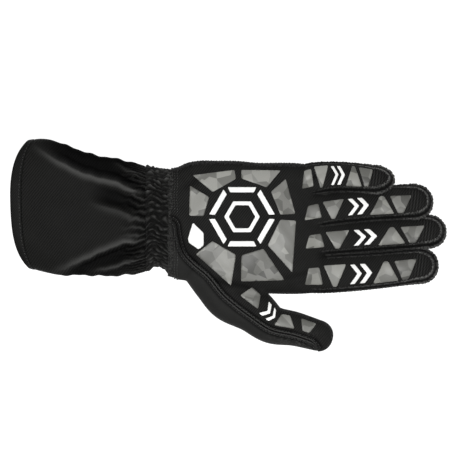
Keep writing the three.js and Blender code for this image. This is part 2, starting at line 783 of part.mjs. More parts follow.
// The origin is under the middle of the glove's box
const box = new THREE.Box3().setFromObject(glove);
const middle = box.getCenter(new THREE.Vector3());
for (const piece of glove.children) {
  piece.geometry.translate(-middle.x, -middle.y, -box.min.z);
}

export default glove;
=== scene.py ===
# %% [markdown]
# # A karting glove
# This scene dresses the plain solids of a right-hand karting glove as cloth, elastic, stitching and silicone
# print. The glove lies palm up with its fingers along +X. The solids give the place and the size of each
# piece, and each piece here is drawn again with many more faces so that its folds and seams can be seen.

# %% The frame
import math

import bmesh
import bpy
import numpy as np
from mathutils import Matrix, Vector
from mathutils.bvhtree import BVHTree
from mathutils.geometry import delaunay_2d_cdt


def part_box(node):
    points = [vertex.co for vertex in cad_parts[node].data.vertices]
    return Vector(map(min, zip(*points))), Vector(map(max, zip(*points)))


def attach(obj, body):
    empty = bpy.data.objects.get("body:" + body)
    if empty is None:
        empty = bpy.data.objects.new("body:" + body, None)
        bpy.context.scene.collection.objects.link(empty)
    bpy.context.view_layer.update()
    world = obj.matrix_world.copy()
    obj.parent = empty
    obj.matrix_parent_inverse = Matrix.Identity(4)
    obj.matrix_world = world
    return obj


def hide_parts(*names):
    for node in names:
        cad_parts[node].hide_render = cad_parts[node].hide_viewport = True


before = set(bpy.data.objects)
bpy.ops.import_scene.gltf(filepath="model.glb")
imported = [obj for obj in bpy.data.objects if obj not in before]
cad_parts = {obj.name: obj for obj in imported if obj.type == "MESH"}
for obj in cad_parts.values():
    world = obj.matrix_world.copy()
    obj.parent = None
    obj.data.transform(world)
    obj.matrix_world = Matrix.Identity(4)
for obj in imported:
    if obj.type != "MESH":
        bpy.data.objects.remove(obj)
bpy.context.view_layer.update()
MM = 0.001
print("frame holds", len(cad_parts), "nodes")

# %% [markdown]
# The glove is measured from the end of the wrist band, on the line through the middle of the palm. The
# printed hexagon lies at a known place from there, so its box tells where that point is in the frame.

# %% The glove's own origin
PALM_LENGTH = 118.0
PALM_WIDTH = 102.0
PALM_HEIGHT = 23.5
HEXAGON = (0.47 * PALM_LENGTH, 0.09 * PALM_WIDTH)
low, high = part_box("hexagon_core")
ORIGIN = np.array([(low[k] + high[k]) / 2 / MM - HEXAGON[k] for k in range(2)] + [0.0])
print("glove's origin in the frame, mm:", np.round(ORIGIN, 2))

# %% [markdown]
# ## Curves through tables
# The outline of each part of the glove is a short table of shares, as a pattern cutter would note it. A
# smooth curve through each column gives the size anywhere between two rows.

# %% Curves
def table(keys, *rows):
    """The rows of a pattern table, all with the same keys."""
    return [dict(zip(keys.split(), row)) for row in rows]


def column(rows, key, at):
    x = np.array([row["at"] for row in rows], float)
    y = np.array([row[key] for row in rows], float)
    slope = np.gradient(y, x)
    at = np.clip(np.asarray(at, float), x[0], x[-1])
    i = np.clip(np.searchsorted(x, at, side="right") - 1, 0, len(x) - 2)
    span = x[i + 1] - x[i]
    t = (at - x[i]) / span
    return (
        y[i] * (2 * t**3 - 3 * t**2 + 1) + slope[i] * span * (t**3 - 2 * t**2 + t)
        + y[i + 1] * (3 * t**2 - 2 * t**3) + slope[i + 1] * span * (t**3 - t**2)
    )


def blend(a, b, share):
    return a + (b - a) * share


def smooth(low_end, high_end, value):
    t = np.clip((np.asarray(value, float) - low_end) / (high_end - low_end), 0, 1)
    return t * t * (3 - 2 * t)


def rounded(angle, power):
    c, s = np.cos(angle), np.sin(angle)
    return np.sign(c) * np.abs(c) ** (2 / power), np.sign(s) * np.abs(s) ** (2 / power)


def ripple(a, b, *waves):
    """A soft uneven height made of a few slow waves, the same on each run."""
    total = 0
    for size, across, along, shift in waves:
        total = total + size * np.sin(across * a + along * b + shift)
    return total


def unit(vectors):
    return vectors / np.linalg.norm(vectors, axis=1)[:, None]


def lengths_along(points):
    """The way along a path from its start to each of its points."""
    return np.append(0, np.cumsum(np.linalg.norm(np.diff(points, axis=0), axis=1)))


print("a soft step is half way up at its middle:", float(smooth(0, 1, 0.5)))

# %% [markdown]
# ## Meshes
# Pieces are made from grids of points. A sleeve is one closed skin: it runs along the outside, over the rim
# and back along the inside, so the cloth has its real thickness when it is seen from the cuff's mouth.

# %% Mesh helpers
# The tone of flat cloth, which gets no painted highlight and no painted shade
FLAT_TONE = 0.4


def in_scene(name, data):
    item = bpy.data.objects.new(name, data)
    bpy.context.scene.collection.objects.link(item)
    return item


def mesh_object(name, points_mm, faces):
    mesh = bpy.data.meshes.new(name)
    points = (np.asarray(points_mm, float).reshape(-1, 3) + ORIGIN) * MM
    mesh.from_pydata(points.tolist(), [], [list(map(int, face)) for face in faces])
    mesh.validate()
    mesh.update()
    mesh.polygons.foreach_set("use_smooth", [True] * len(mesh.polygons))
    return in_scene(name, mesh)


def grid_faces(rows, columns, wrap_rows=False):
    """Four-sided faces between closed rings of points."""
    i = np.arange(rows if wrap_rows else rows - 1)
    i, j = [a.ravel() for a in np.meshgrid(i, np.arange(columns), indexing="ij")]
    i2, j2 = (i + 1) % rows, (j + 1) % columns
    return np.stack([i * columns + j, i * columns + j2, i2 * columns + j2, i2 * columns + j], 1)


def sleeve(name, outer, inner):
    """outer and inner: rings of points, mouth first. The last inner ring comes back to the mouth."""
    rings = np.concatenate([outer, inner[::-1]])
    return mesh_object(name, rings, grid_faces(len(rings), rings.shape[1], wrap_rows=True))


def closed_loft(rings):
    """Points and faces of a body through rings, shut at both ends."""
    count = rings.shape[1]
    points = np.concatenate([rings.reshape(-1, 3), rings[:1].mean(1), rings[-1:].mean(1)])
    faces = grid_faces(len(rings), count).tolist()
    start, end = len(points) - 2, len(points) - 1
    base = (len(rings) - 1) * count
    for j in range(count):
        k = (j + 1) % count
        faces.append([start, k, j])
        faces.append([end, base + j, base + k])
    return points, faces


def rings(ring, rows):
    return np.array([ring(*row) for row in rows])


def face_outwards(piece):
    work = bmesh.new()
    work.from_mesh(piece.data)
    bmesh.ops.recalc_face_normals(work, faces=work.faces)
    work.to_mesh(piece.data)
    work.free()


def paint_fold_shading(piece, tones):
    """Keeps the painted highlight and shade of the folds on the first points of a piece. The others count as
    flat cloth.
    """
    values = np.full(len(piece.data.vertices), FLAT_TONE)
    values[:tones.size] = tones.ravel()
    piece.data.attributes.new("painted_fold_shade", "FLOAT", "POINT").data.foreach_set("value", values)


def finished(piece, material, slot, *nodes):
    """Gives a piece its finish, in place of the named nodes of the solid glove. slot is not used."""
    if material:
        piece.data.materials.append(material)
    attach(piece, "root")
    if nodes:
        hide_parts(*nodes)
    print(piece.name, len(piece.data.polygons), "faces")


print("faces between 4 rings of 6 points:", len(grid_faces(4, 6)))

# %% [markdown]
# ## Materials
# Each finish starts from what the real one is. One helper adds a node with its settings and its links, and
# one turns a hex colour to the linear values that the shader wants.

# %% Material helpers
def linear(hex_colour):
    values = [int(hex_colour[i:i + 2], 16) / 255 for i in (1, 3, 5)]
    return tuple(v / 12.92 if v <= 0.04045 else ((v + 0.055) / 1.055) ** 2.4 for v in values) + (1.0,)


def add(tree, kind, settings=None, **links):
    """Adds a node. A socket goes by its name or _number, and a hex colour is set and not linked."""
    node = tree.nodes.new(kind)
    for key, value in (settings or {}).items():
        if isinstance(key, str) and hasattr(node, key):
            setattr(node, key, value)
        else:
            node.inputs[key].default_value = value
    for key, source in links.items():
        socket = node.inputs[int(key[1:]) if key[1:].isdigit() else key]
        if isinstance(source, str):
            socket.default_value = linear(source)
        else:
            tree.links.new(source, socket)
    return node


def new_material(name, roughness, specular, sheen=0.0, sheen_roughness=0.5):
    material = bpy.data.materials.new(name)
    material.use_nodes = True
    shader = material.node_tree.nodes["Principled BSDF"]
    shader.inputs["Roughness"].default_value = roughness
    shader.inputs["Specular IOR Level"].default_value = specular
    shader.inputs["Sheen Weight"].default_value = sheen
    shader.inputs["Sheen Roughness"].default_value = sheen_roughness
    return material, material.node_tree


def surface(material, colour, height, depth_mm, strength):
    """Gives the shader its colour, and a bump that is as deep as the real relief."""
    tree = material.node_tree
    shader = tree.nodes["Principled BSDF"]
    tree.links.new(colour, shader.inputs["Base Color"])
    bump = add(tree, "ShaderNodeBump", {"Strength": strength, "Distance": depth_mm * MM}, Height=height)
    tree.links.new(bump.outputs[0], shader.inputs["Normal"])
    return material


# A Mix node for colours has its share at input 0, its colours at 6 and 7 and its result at output 2
COLOURS = {"data_type": "RGBA"}
print("mid grey in linear values:", [round(v, 3) for v in linear("#808080")[:3]])

# %% [markdown]
# ### Twill
# The gauntlet is polyester twill. Its threads pass over two and under one, which shows as fine slanting
# ribs. Real ribs are about 0.7 mm apart and too fine for this picture, so they are drawn 1.75 mm apart. The
# coordinates are slanted by a Mapping node, a wave makes the ribs, and slow noise makes the cloth uneven.

# %% Cloth materials
UNEVEN_MM = 14
# Colours of the painted shade in the fold valleys and of the painted highlight on the fold crests
PAINTED_VALLEY_SHADE, PAINTED_CREST_HIGHLIGHT = "#010101", "#434342"


def cloth(name, dark, pale, rib_mm, slant, depth_mm, roughness, sheen, shine=0.12, grain_mm=0.5, grain=0.35,
          folded=False):
    material, tree = new_material(name, roughness, shine, sheen, 0.45)
    place = add(tree, "ShaderNodeTexCoord").outputs["Object"]
    turned = add(tree, "ShaderNodeMapping", {"Rotation": (0, 0, math.radians(slant))}, Vector=place)
    # A wave of scale s repeats every 2 pi / (20 s) metres
    scale = 2 * math.pi / 20 / (rib_mm * MM)
    rib = add(tree, "ShaderNodeTexWave", {"Scale": scale, "Distortion": 0.6, "Detail": 1.0,
                                          "Detail Scale": 1.5}, Vector=turned.outputs[0])
    fuzz = add(tree, "ShaderNodeTexNoise", {"Scale": 1 / (grain_mm * MM), "Detail": 3.0}, Vector=place)
    slow = add(tree, "ShaderNodeTexNoise", {"Scale": 1 / (UNEVEN_MM * MM), "Detail": 2.0}, Vector=place)
    both = add(tree, "ShaderNodeMath", {"operation": "MULTIPLY_ADD", 1: grain}, _0=fuzz.outputs[0],
               _2=rib.outputs["Fac"])
    tone = add(tree, "ShaderNodeMapRange", {"From Min": 0.1, "From Max": 1.2}, Value=both.outputs[0])
    colour = add(tree, "ShaderNodeMix", COLOURS, _0=tone.outputs[0], _6=dark, _7=pale).outputs[2]
    worn = add(tree, "ShaderNodeMapRange", {"From Min": 0.35, "From Max": 0.75, "To Max": 0.35},
               Value=slow.outputs[0])
    colour = add(tree, "ShaderNodeMix", COLOURS, _0=worn.outputs[0], _6=colour, _7=pale).outputs[2]
    if folded:
        # Painted highlight on the crests and painted shade in the valleys, set by the fold tone
        tone = add(tree, "ShaderNodeAttribute", {"attribute_name": "painted_fold_shade"}).outputs["Fac"]
        level = add(tree, "ShaderNodeMapRange", {"From Min": 0.0, "From Max": FLAT_TONE}, Value=tone)
        crest = add(tree, "ShaderNodeMapRange", {"From Min": FLAT_TONE, "From Max": 1.0}, Value=tone)
        colour = add(tree, "ShaderNodeMix", COLOURS, _0=level.outputs[0], _6=PAINTED_VALLEY_SHADE, _7=colour).outputs[2]
        colour = add(tree, "ShaderNodeMix", COLOURS, _0=crest.outputs[0], _6=colour, _7=PAINTED_CREST_HIGHLIGHT).outputs[2]
    return surface(material, colour, both.outputs[0], depth_mm, 0.7)


# Woven polyester, matt with a faint slanting rib. The hem's is darker, where it is turned in double
twill = cloth("polyester_twill", "#10100f", "#1e1e1d", 1.75, 38, 0.3, 0.6, 0.02, 0.04, folded=True)
hem_twill = cloth("turned_twill_hem", "#060605", "#111110", 1.3, 38, 0.16, 0.64, 0.02, 0.12)
# The same twill drawn together by elastic: a little shinier, because its threads are stretched
gathered = cloth("gathered_twill", "#0f0f0e", "#232322", 1.1, 62, 0.2, 0.5, 0.02, 0.06, folded=True)
# Brushed synthetic suede: its nap scatters the light, so it shows almost no gloss
microfibre = cloth("brushed_microfibre", "#0c0c0c", "#242423", 1.6, 38, 0.34, 0.62, 0.02, 0.045, 0.35, 0.4,
                   folded=True)
# Stretch knit: smooth and fine. Its loops are about 0.4 mm wide and are drawn 0.8 mm wide
knit = cloth("fine_stretch_knit", "#141414", "#292928", 0.8, 90, 0.09, 0.6, 0.03, 0.06, 0.3, 0.5, folded=True)
# Bonded nylon thread, twisted and slightly glossy
thread = cloth("bonded_black_thread", "#1c1c1c", "#3d3d3c", 0.4, 45, 0.05, 0.5, 0.2)
print("cloths:", len(bpy.data.materials))

# %% [markdown]
# ### Heathered knit
# The raised outside seams are bound in a knit of black and grey yarns. Small cells of noise pick which
# yarn is on top.

# %% Heathered knit
YARN_MM, SPECKLE_MM = 1.0, 2.2


def heather(name, dark, pale, folded=False):
    material, tree = new_material(name, 0.8, 0.06, 0.03, 0.5)
    place = add(tree, "ShaderNodeTexCoord").outputs["Object"]
    yarn = add(tree, "ShaderNodeTexVoronoi", {"Scale": 1 / (YARN_MM * MM)}, Vector=place)
    patch = add(tree, "ShaderNodeTexNoise", {"Scale": 1 / (SPECKLE_MM * MM), "Detail": 3.0}, Vector=place)
    mixed = add(tree, "ShaderNodeMath", {"operation": "MULTIPLY"}, _0=yarn.outputs["Distance"],
                _1=patch.outputs[0])
    tone = add(tree, "ShaderNodeMapRange", {"From Min": 0.1, "From Max": 0.33}, Value=mixed.outputs[0])
    colour = add(tree, "ShaderNodeMix", COLOURS, _0=tone.outputs[0], _6=dark, _7=pale).outputs[2]
    if folded:
        # Painted shade: where the fold tone is low the yarn is darkened towards black
        light = add(tree, "ShaderNodeAttribute", {"attribute_name": "painted_fold_shade"}).outputs["Fac"]
        colour = add(tree, "ShaderNodeMix", COLOURS, _0=light, _6="#050505", _7=colour).outputs[2]
    return surface(material, colour, yarn.outputs["Distance"], 0.35, 0.8)


# Black and grey yarns side by side look speckled. The elastic and the overlocked edge are nearly all black
heathered = heather("heathered_seam_knit", "#0c0c0c", "#6e6e6c", folded=True)
elastic = heather("zigzag_elastic", "#080808", "#333332")
bound_edge = heather("overlocked_black_edge", "#080808", "#2a2a2a")
print("cloths and knits:", len(bpy.data.materials))

# %% [markdown]
# ### Silicone and print
# The grips are printed silicone, a rubber with a soft gloss. The glove shows them in flat shades with
# straight borders, like shards laid side by side, so the cells of a Voronoi pattern pick a shade each. The
# white print is the same with two shades that are nearly alike.

# %% Silicone and print
def silicone(name, tones, cell_mm, roughness):
    material, tree = new_material(name, roughness, 0.3)
    place = add(tree, "ShaderNodeTexCoord").outputs["Object"]
    flat = add(tree, "ShaderNodeMapping", {"Scale": (1, 1, 0.02)}, Vector=place)
    cell = add(tree, "ShaderNodeTexVoronoi", {"Scale": 1 / (cell_mm * MM)}, Vector=flat.outputs[0])
    pick = add(tree, "ShaderNodeSeparateColor", {}, Color=cell.outputs["Color"])
    ramp = add(tree, "ShaderNodeValToRGB", {}, Fac=pick.outputs[0])
    ramp.color_ramp.interpolation = "CONSTANT"
    while len(ramp.color_ramp.elements) < len(tones):
        ramp.color_ramp.elements.new(0.5)
    for i, tone in enumerate(tones):
        ramp.color_ramp.elements[i].position = i / len(tones)
        ramp.color_ramp.elements[i].color = linear(tone)
    dust = add(tree, "ShaderNodeTexNoise", {"Scale": 1 / (0.8 * MM), "Detail": 2.0}, Vector=place)
    scuff = add(tree, "ShaderNodeMapRange", {"From Min": 0.4, "From Max": 0.8, "To Max": 0.12},
                Value=dust.outputs[0])
    colour = add(tree, "ShaderNodeMix", COLOURS, _0=scuff.outputs[0], _6=ramp.outputs[0], _7=tones[-1])
    return surface(material, colour.outputs[2], dust.outputs[0], 0.08, 0.3)


grips = {
    "light": silicone("light_grey_silicone", ["#7f7f7b", "#90908b", "#696965"], 9, 0.45),
    "mid": silicone("mid_grey_silicone", ["#6f6f6b", "#82827d", "#5a5a56"], 8, 0.45),
    "dark": silicone("dark_grey_silicone", ["#61615d", "#747470", "#4f4f4c"], 7, 0.45),
    "white": silicone("white_print", ["#e9e9e7", "#efefed"], 12, 0.4),
}
print("materials:", len(bpy.data.materials))

# %% [markdown]
# ## The gauntlet
# The gauntlet is a flared sleeve that lies folded flat. Its width follows the table, its mouth has rounded
# corners, and folds start at the gathered wrist and die out towards the mouth. Each fold has a crest along a
# line: on one side the cloth rises to it gently, on the other side it drops into a valley.

# %% Gauntlet sizes
GAUNTLET_LENGTH = 104.0
GAUNTLET_WIDTH = 104.0
GAUNTLET_HEIGHT = 27.0
GAUNTLET_WALL = 1.3
GAUNTLET_LEAN = 11.4
MOUTH_CORNER = 7.5
MOUTH_BOW = 6.5
MOUTH_BOW_BELOW = 4.2
MOUTH_PEAK = 0.145
HEM_WIDTH = 8.5
HEM_GAP = 0.3
WRIST_LENGTH = 19.2
WRIST_WIDTH = 77.0
WRIST_HEIGHT = 21.0
WRIST_CENTRE = 7.6
GATHER_COUNT = 56
# The cloth below is pressed this much flatter by the table
FLATTEN = 1.1
# Where the widest line lies, as a share of the height
AXIS_SHARE = 0.43
# 2 makes an elliptic section, more makes it boxier
SECTION_POWER = 2.4
MOUTH_X = -(GAUNTLET_LENGTH + WRIST_LENGTH)

GAUNTLET_ROWS = table(
    "at flare lean rise",
    (0, 0.8, 1, 0.7),
    (0.17, 0.97, 0.94, 0.9),
    (0.26, 1, 0.84, 1),
    (0.35, 0.96, 0.67, 1),
    (0.44, 0.86, 0.54, 1),
    (0.57, 0.67, 0.32, 0.9),
    (0.7, 0.59, 0.16, 0.75),
    (0.83, 0.47, 0.09, 0.5),
    (0.92, 0.34, 0.02, 0.25),
    (1, 0.12, 0, 0.05),
)

# line: places along the gauntlet and across it, in shares. outward: the side on which the cloth drops.
# crest, drop, inner, outer, valley and fade are in mm. glow and dim: how strong the painted highlight on the
# crest and the painted shade in the valley are.
FOLDS = table(
    "line outward crest inner outer drop valley fade glow dim",
    ([(0.06, 0.95), (0.3, 0.735), (0.5, 0.64), (0.78, 0.58), (1.02, 0.41)], 1, 2.0, 12, 2.6, 8.5, 8, 14,
     1.0, 0.92),
    ([(0.74, 0.93), (0.86, 0.85), (1.03, 0.79)], 1, 3.6, 3.4, 2.2, 1.5, 3, 4, 0.8, 0.3),
    ([(0.55, 0.2), (0.8, 0.1), (1.03, -0.04)], 1, 0.8, 9, 3.5, 2.4, 9, 7, 0.35, 0.8),
    ([(0.24, -1.0), (0.5, -0.785), (0.66, -0.6), (0.85, -0.43), (1.03, -0.42)], -1, 2.0, 12, 2.4, 7.0, 5,
     11, 0.85, 0.85),
    ([(0.5, -0.97), (0.68, -0.89), (0.84, -0.8), (1.03, -0.7)], -1, 3.8, 3.2, 2.2, 1.5, 3, 4, 0.95, 0.4),
)
print("gauntlet mouth at x =", MOUTH_X, "mm, folds:", len(FOLDS))

# %% [markdown]
# Away from its line a fold dies out as a bell curve does, wide on the gentle side and narrow on the steep
# one. The same curves set the painted highlight on its crest and the painted shade in its valley.

# %% Folds
# How far the painted highlight of a crest reaches on its gentle and on its steep side
CREST_HIGHLIGHT_REACH_MM = (3.2, 1.3)


def folds_at(at, side, half_width):
    """The lift of the cloth in mm, and its painted highlight and shade there: FLAT_TONE is flat cloth."""
    lift, tone = np.zeros(side.shape), np.full(side.shape, FLAT_TONE)
    for fold in FOLDS:
        line = [{"at": a, "side": b} for a, b in fold["line"]]
        away = (side - column(line, "side", at)) * half_width * fold["outward"]
        reach = smooth(line[0]["at"], blend(line[0]["at"], line[-1]["at"], 0.4), at)
        crest = np.exp(-((away / np.where(away < 0, fold["inner"], fold["outer"])) ** 2))
        edge = np.exp(-((away / np.where(away < 0, *CREST_HIGHLIGHT_REACH_MM)) ** 2))
        beyond = np.maximum(away - fold["valley"], 0)
        valley = smooth(0, fold["valley"], away) * np.exp(-((beyond / fold["fade"]) ** 2))
        lift += reach * (fold["crest"] * crest - fold["drop"] * valley)
        # Painted highlight along each crest and painted shade in each valley
        tone += reach * (0.6 * fold["glow"] * edge - 0.4 * fold["dim"] * smooth(0, 0.6, valley))
    return lift, np.clip(tone, 0, 1)

# %% [markdown]
# The gathers of the wrist band do not stop at its edge. They run on into the gauntlet as small uneven
# pleats that flatten out after a centimetre or two.

# %% Gauntlet surface
GATHER_WANDER = [(1.2, 3, 0.12, 0.4), (0.9, 7, -0.19, 1.9), (0.8, 13, 0.4, 4.1), (0.5, 29, 0.9, 0.7)]


def gather_shape(angle, along_mm):
    """0 to 1 over each gather, with its line wandering a little along the arm."""
    wander = ripple(angle, along_mm, *GATHER_WANDER)
    return 0.5 + 0.5 * np.cos(angle * GATHER_COUNT + wander)


def gauntlet_points(at, angle, proud, tones=False):
    at, angle = np.meshgrid(at, angle, indexing="ij")
    flare, lean, rise = [column(GAUNTLET_ROWS, key, at) for key in ("flare", "lean", "rise")]
    half_width = blend(WRIST_WIDTH, GAUNTLET_WIDTH, flare) / 2 + proud
    height = blend(WRIST_HEIGHT, GAUNTLET_HEIGHT, rise)
    axis = height * AXIS_SHARE
    c, s = rounded(angle, SECTION_POWER)
    opened = np.clip(1 - at / 0.5, 0, None) ** 2
    bow = np.where(c > MOUTH_PEAK, MOUTH_BOW, MOUTH_BOW_BELOW)
    cut = opened * (MOUTH_CORNER * np.abs(c) ** 4.5 + bow * (c - MOUTH_PEAK) ** 2)
    along = at * GAUNTLET_LENGTH
    lift, tone = folds_at(at, c, half_width)
    lift += ripple(angle, along, (0.25, 5, 0.06, 1.0), (0.18, 9, -0.1, 2.2), (0.12, 3, 0.22, 0.3))
    scallop = ripple(angle * 0, along, (0.45, 1, 0.33, 0.4), (0.3, 1, 0.61, 1.3)) * smooth(0.25, 0.5, at)
    pleat = gather_shape(angle, along) - 0.5
    if tones:
        # Near the wrist the pleats get painted highlight on their crests and painted shade between them
        pleated = tone + pleat * 0.5 * smooth(0.78, 1.0, at)
        return np.clip(blend(pleated, 0.3 + 0.5 * pleat, smooth(0.88, 1.0, at)), 0, 1)
    pleat *= 1.1 * smooth(0.84, 1.0, at) + 0.4 * smooth(0.7, 0.9, at)
    top = (height - axis + proud) * s + (lift + pleat) * np.clip(s, 0, 1) ** 0.8
    bottom = (axis + FLATTEN + proud) * s
    z = axis + np.where(s > 0, top, bottom)
    x = MOUTH_X + along + cut
    y = WRIST_CENTRE + GAUNTLET_LEAN * lean + (half_width + pleat * 0.5 + scallop) * c
    return np.stack([x, y, np.maximum(z, -min(proud, 0))], -1)


print("a gather's height at its crest:", float(gather_shape(0.0, 0.0).round(2)))

# %% [markdown]
# The sleeve starts inside the hem. Its outside has many rings so that the folds stay smooth, and the lining
# side needs far fewer.

# %% The gauntlet's sleeve
around = np.linspace(0, 2 * np.pi, 540, endpoint=False)
hem_share = (HEM_WIDTH + HEM_GAP) / GAUNTLET_LENGTH
shares = np.linspace(hem_share, 1, 150)
lining_side = gauntlet_points(np.linspace(hem_share, 1, 24), around, -GAUNTLET_WALL)
gauntlet = sleeve("gauntlet", gauntlet_points(shares, around, 0), lining_side)
paint_fold_shading(gauntlet, gauntlet_points(shares, around, 0, tones=True))
finished(gauntlet, twill, "twill_gauntlet", "gauntlet_cuff")

# %% [markdown]
# ## The hem
# At the mouth the twill is turned in twice and stitched down, which makes a slightly thicker band with a
# soft rounded edge. A shallow groove runs where the stitches pull it in.

# %% Hem
# Each pair: the way from the mouth, and how far the surface stands off the gauntlet's own, in mm
GROOVE_MM = 7.0
HEM_OUTSIDE = [(0.0, -0.6), (0.2, 0.05), (0.7, 0.45), (1.6, 0.55), (5.6, 0.5), (6.5, 0.36),
               (GROOVE_MM, 0.12), (7.5, 0.36), (8.2, 0.3), (8.5, 0.02)]
HEM_INSIDE = [(0.3, -1.4), (1.2, -1.8), (8.0, -1.8), (8.5, -1.5)]


def mouth_ring(mm, proud):
    return gauntlet_points([mm / GAUNTLET_LENGTH], around, proud)[0]


hem = sleeve("hem", rings(mouth_ring, HEM_OUTSIDE), rings(mouth_ring, HEM_INSIDE))
finished(hem, hem_twill, "twill_hem", "cuff_hem")

# %% [markdown]
# ## The wrist band
# Three rows of elastic thread draw the twill into gathers. Between two rows each gather swells, and the
# gathers of the next row are shifted a little, which gives the broken, woven look of shirring.

# %% Wrist band
ELASTIC_ROWS = 3
GATHER_DEPTH = 2.0
BAND_WALL = 1.5
WRIST_ROWS = table(
    "at flare shift",
    (0, 0.12, 0),
    (0.5, -0.09, 0.014),
    (0.8, 0, -0.006),
    (1, 0.16, -0.03),
)


def wrist_points(at, angle, proud, puckered, tones=False):
    at, angle = np.meshgrid(at, angle, indexing="ij")
    flare, shift = [column(WRIST_ROWS, key, at) for key in ("flare", "shift")]
    half_width = blend(WRIST_WIDTH, GAUNTLET_WIDTH, flare) / 2 + proud
    axis = WRIST_HEIGHT * AXIS_SHARE
    c, s = rounded(angle, SECTION_POWER)
    along = GAUNTLET_LENGTH + at * WRIST_LENGTH
    row = at * ELASTIC_ROWS
    shifted = row + 0.22 * np.sin(angle * 17) + 0.15 * np.sin(angle * 41 + 1)
    swell = np.abs(np.sin(np.pi * shifted)) ** 0.7
    stagger = 2.2 * np.sin(np.pi * row / ELASTIC_ROWS * 2) + 0.7 * np.sin(np.pi * row)
    gather = gather_shape(angle + stagger / GATHER_COUNT, along)
    uneven = 1 + ripple(angle, along, (0.3, 13, 0.3, 0.2), (0.3, 31, -0.5, 1.1), (0.25, 47, 0.8, 2.7))
    if tones:
        # Painted highlight on the crests of the puckered gathers and painted shade between them
        return np.clip(0.08 + 0.54 * gather * (0.35 + 0.65 * swell) * uneven, 0, 1)
    pucker = (GATHER_DEPTH * (0.3 + 0.7 * swell) * uneven * gather - 0.7) if puckered else 0 * at
    pucker = pucker * blend(0.35, 1, smooth(0, 0.08, 1 - at))
    rise = WRIST_HEIGHT - axis + proud + pucker
    drop = axis + FLATTEN + proud + pucker * 0.5
    z = axis + np.where(s > 0, rise, drop) * s
    x = -WRIST_LENGTH + at * WRIST_LENGTH
    y = WRIST_CENTRE + shift * WRIST_WIDTH + (half_width + pucker) * c
    return np.stack([x, y, np.maximum(z, -min(proud, 0))], -1)


around_band = np.linspace(0, 2 * np.pi, 840, endpoint=False)
shares = np.linspace(0, 1, 64)
band = sleeve("wrist_gathers", wrist_points(shares, around_band, 0.0, True),
              wrist_points(np.linspace(0, 1, 12), around_band, -BAND_WALL, False))
paint_fold_shading(band, wrist_points(shares, around_band, 0.0, True, tones=True))
finished(band, gathered, "gathered_twill", "wrist_band")

# %% [markdown]
# ## The hand
# The hand is one body with four fingers and a thumb. Every limb is a row of stations: a centre, a direction
# across, a direction up and the sizes of a rounded section. The fingers are lens shaped, because each is
# two panels sewn edge to edge, and each is rolled so that its near edge lies over the next finger.

# %% Hand tables
KNUCKLE_SLANT = 8.0
THUMB_LENGTH, THUMB_WIDTH, THUMB_HEIGHT, THUMB_TIP = 120.0, 42.0, 19.5, 12.5
FINGER_ROOT, FINGER_HEIGHT, FINGER_TIP = 98.0, 13.6, 15.0
SEAM_WIDTH = 2.6
# A section power under 2 gives a lens
FINGER_POWER = 1.85

PALM_ROWS = table(
    "at centre width height slant",
    (0, 0.044, 0.815, 0.89, 0),
    (0.05, 0.036, 0.85, 0.92, 0),
    (0.1, 0.046, 0.885, 0.94, 0),
    (0.19, 0.042, 0.933, 0.98, 0.05),
    (0.31, 0.026, 0.965, 1, 0.1),
    (0.45, 0.014, 0.986, 1, 0.2),
    (0.6, 0.002, 0.982, 0.96, 0.4),
    (0.78, 0, 0.986, 0.88, 0.7),
    (0.9, 0.002, 0.975, 0.79, 0.9),
    (0.97, 0.004, 0.95, 0.64, 1),
    (1, 0.004, 0.92, 0.48, 1),
)
THUMB_ROWS = table(
    "at along across width height seam",
    (0, 0.185, -0.264, 0.76, 0.96, -0.2),
    (0.16, 0.296, -0.393, 0.9, 1, -0.2),
    (0.34, 0.407, -0.513, 1, 1, -0.2),
    (0.52, 0.542, -0.624, 0.84, 0.97, -0.28),
    (0.69, 0.669, -0.735, 0.7, 0.93, -0.26),
    (0.84, 0.814, -0.767, 0.625, 0.9, -0.34),
    (1, 0.962, -0.815, 0.565, 0.86, -0.45),
)
# The line of the heel: along and across the palm, in shares
HEEL_ROWS = [(-0.03, 0.075), (0.026, 0.058), (0.053, -0.065), (0.086, -0.187), (0.158, -0.279),
             (0.231, -0.348)]
FINGER_ROWS = table(
    "name length width taper root tip bow lift roll far point",
    ("little", 77, 24.5, 0.86, 0.36, 0.337, 0.043, 6.2, 19, 0.7, 1.9),
    ("ring", 107, 26.3, 0.99, 0.125, 0.207, 0.02, 3, 17, 0.3, 2.2),
    ("middle", 117.5, 24.9, 0.98, -0.09, -0.01, 0, 1.3, 16, 0.3, 2.2),
    ("index", 111.5, 28, 0.91, -0.35, -0.258, -0.02, 0, 6, 0.45, 2.2),
)
FINGER_PROFILE = table(
    "at width height lift roll",
    (0, 0.9, 0.95, 0, 0),
    (0.2, 1, 1, 0.7, 0.7),
    (0.4, 1.02, 1, 0.95, 1),
    (0.7, 1.01, 0.97, 1, 1),
    (1, 1, 0.9, 1.05, 1),
)
print("fingers:", [row["name"] for row in FINGER_ROWS])

# %% [markdown]
# A station is kept as plain arrays, one entry for each step along the limb, so that a whole limb is placed
# at once. The tip goes on beyond the last station and closes on a rounded curve.

# %% Stations
def hand_stations(steps):
    at = np.linspace(-0.03, 1, steps)
    held = np.clip(at, 0, 1)
    row = {key: column(PALM_ROWS, key, held) for key in ("centre", "width", "height", "slant")}
    axis = PALM_HEIGHT * AXIS_SHARE
    one = np.ones(steps)
    return {
        "centre": np.stack([at * PALM_LENGTH, row["centre"] * PALM_WIDTH, axis * one], -1),
        "side": np.stack([0 * one, one, 0 * one], -1),
        "top": np.stack([0 * one, 0 * one, one], -1),
        "half": row["width"] * PALM_WIDTH / 2,
        "rise": PALM_HEIGHT * row["height"] - axis,
        "drop": axis * np.minimum(row["height"] + 0.15, 1) + FLATTEN,
        "slant": row["slant"] * KNUCKLE_SLANT,
        "power": SECTION_POWER,
    }


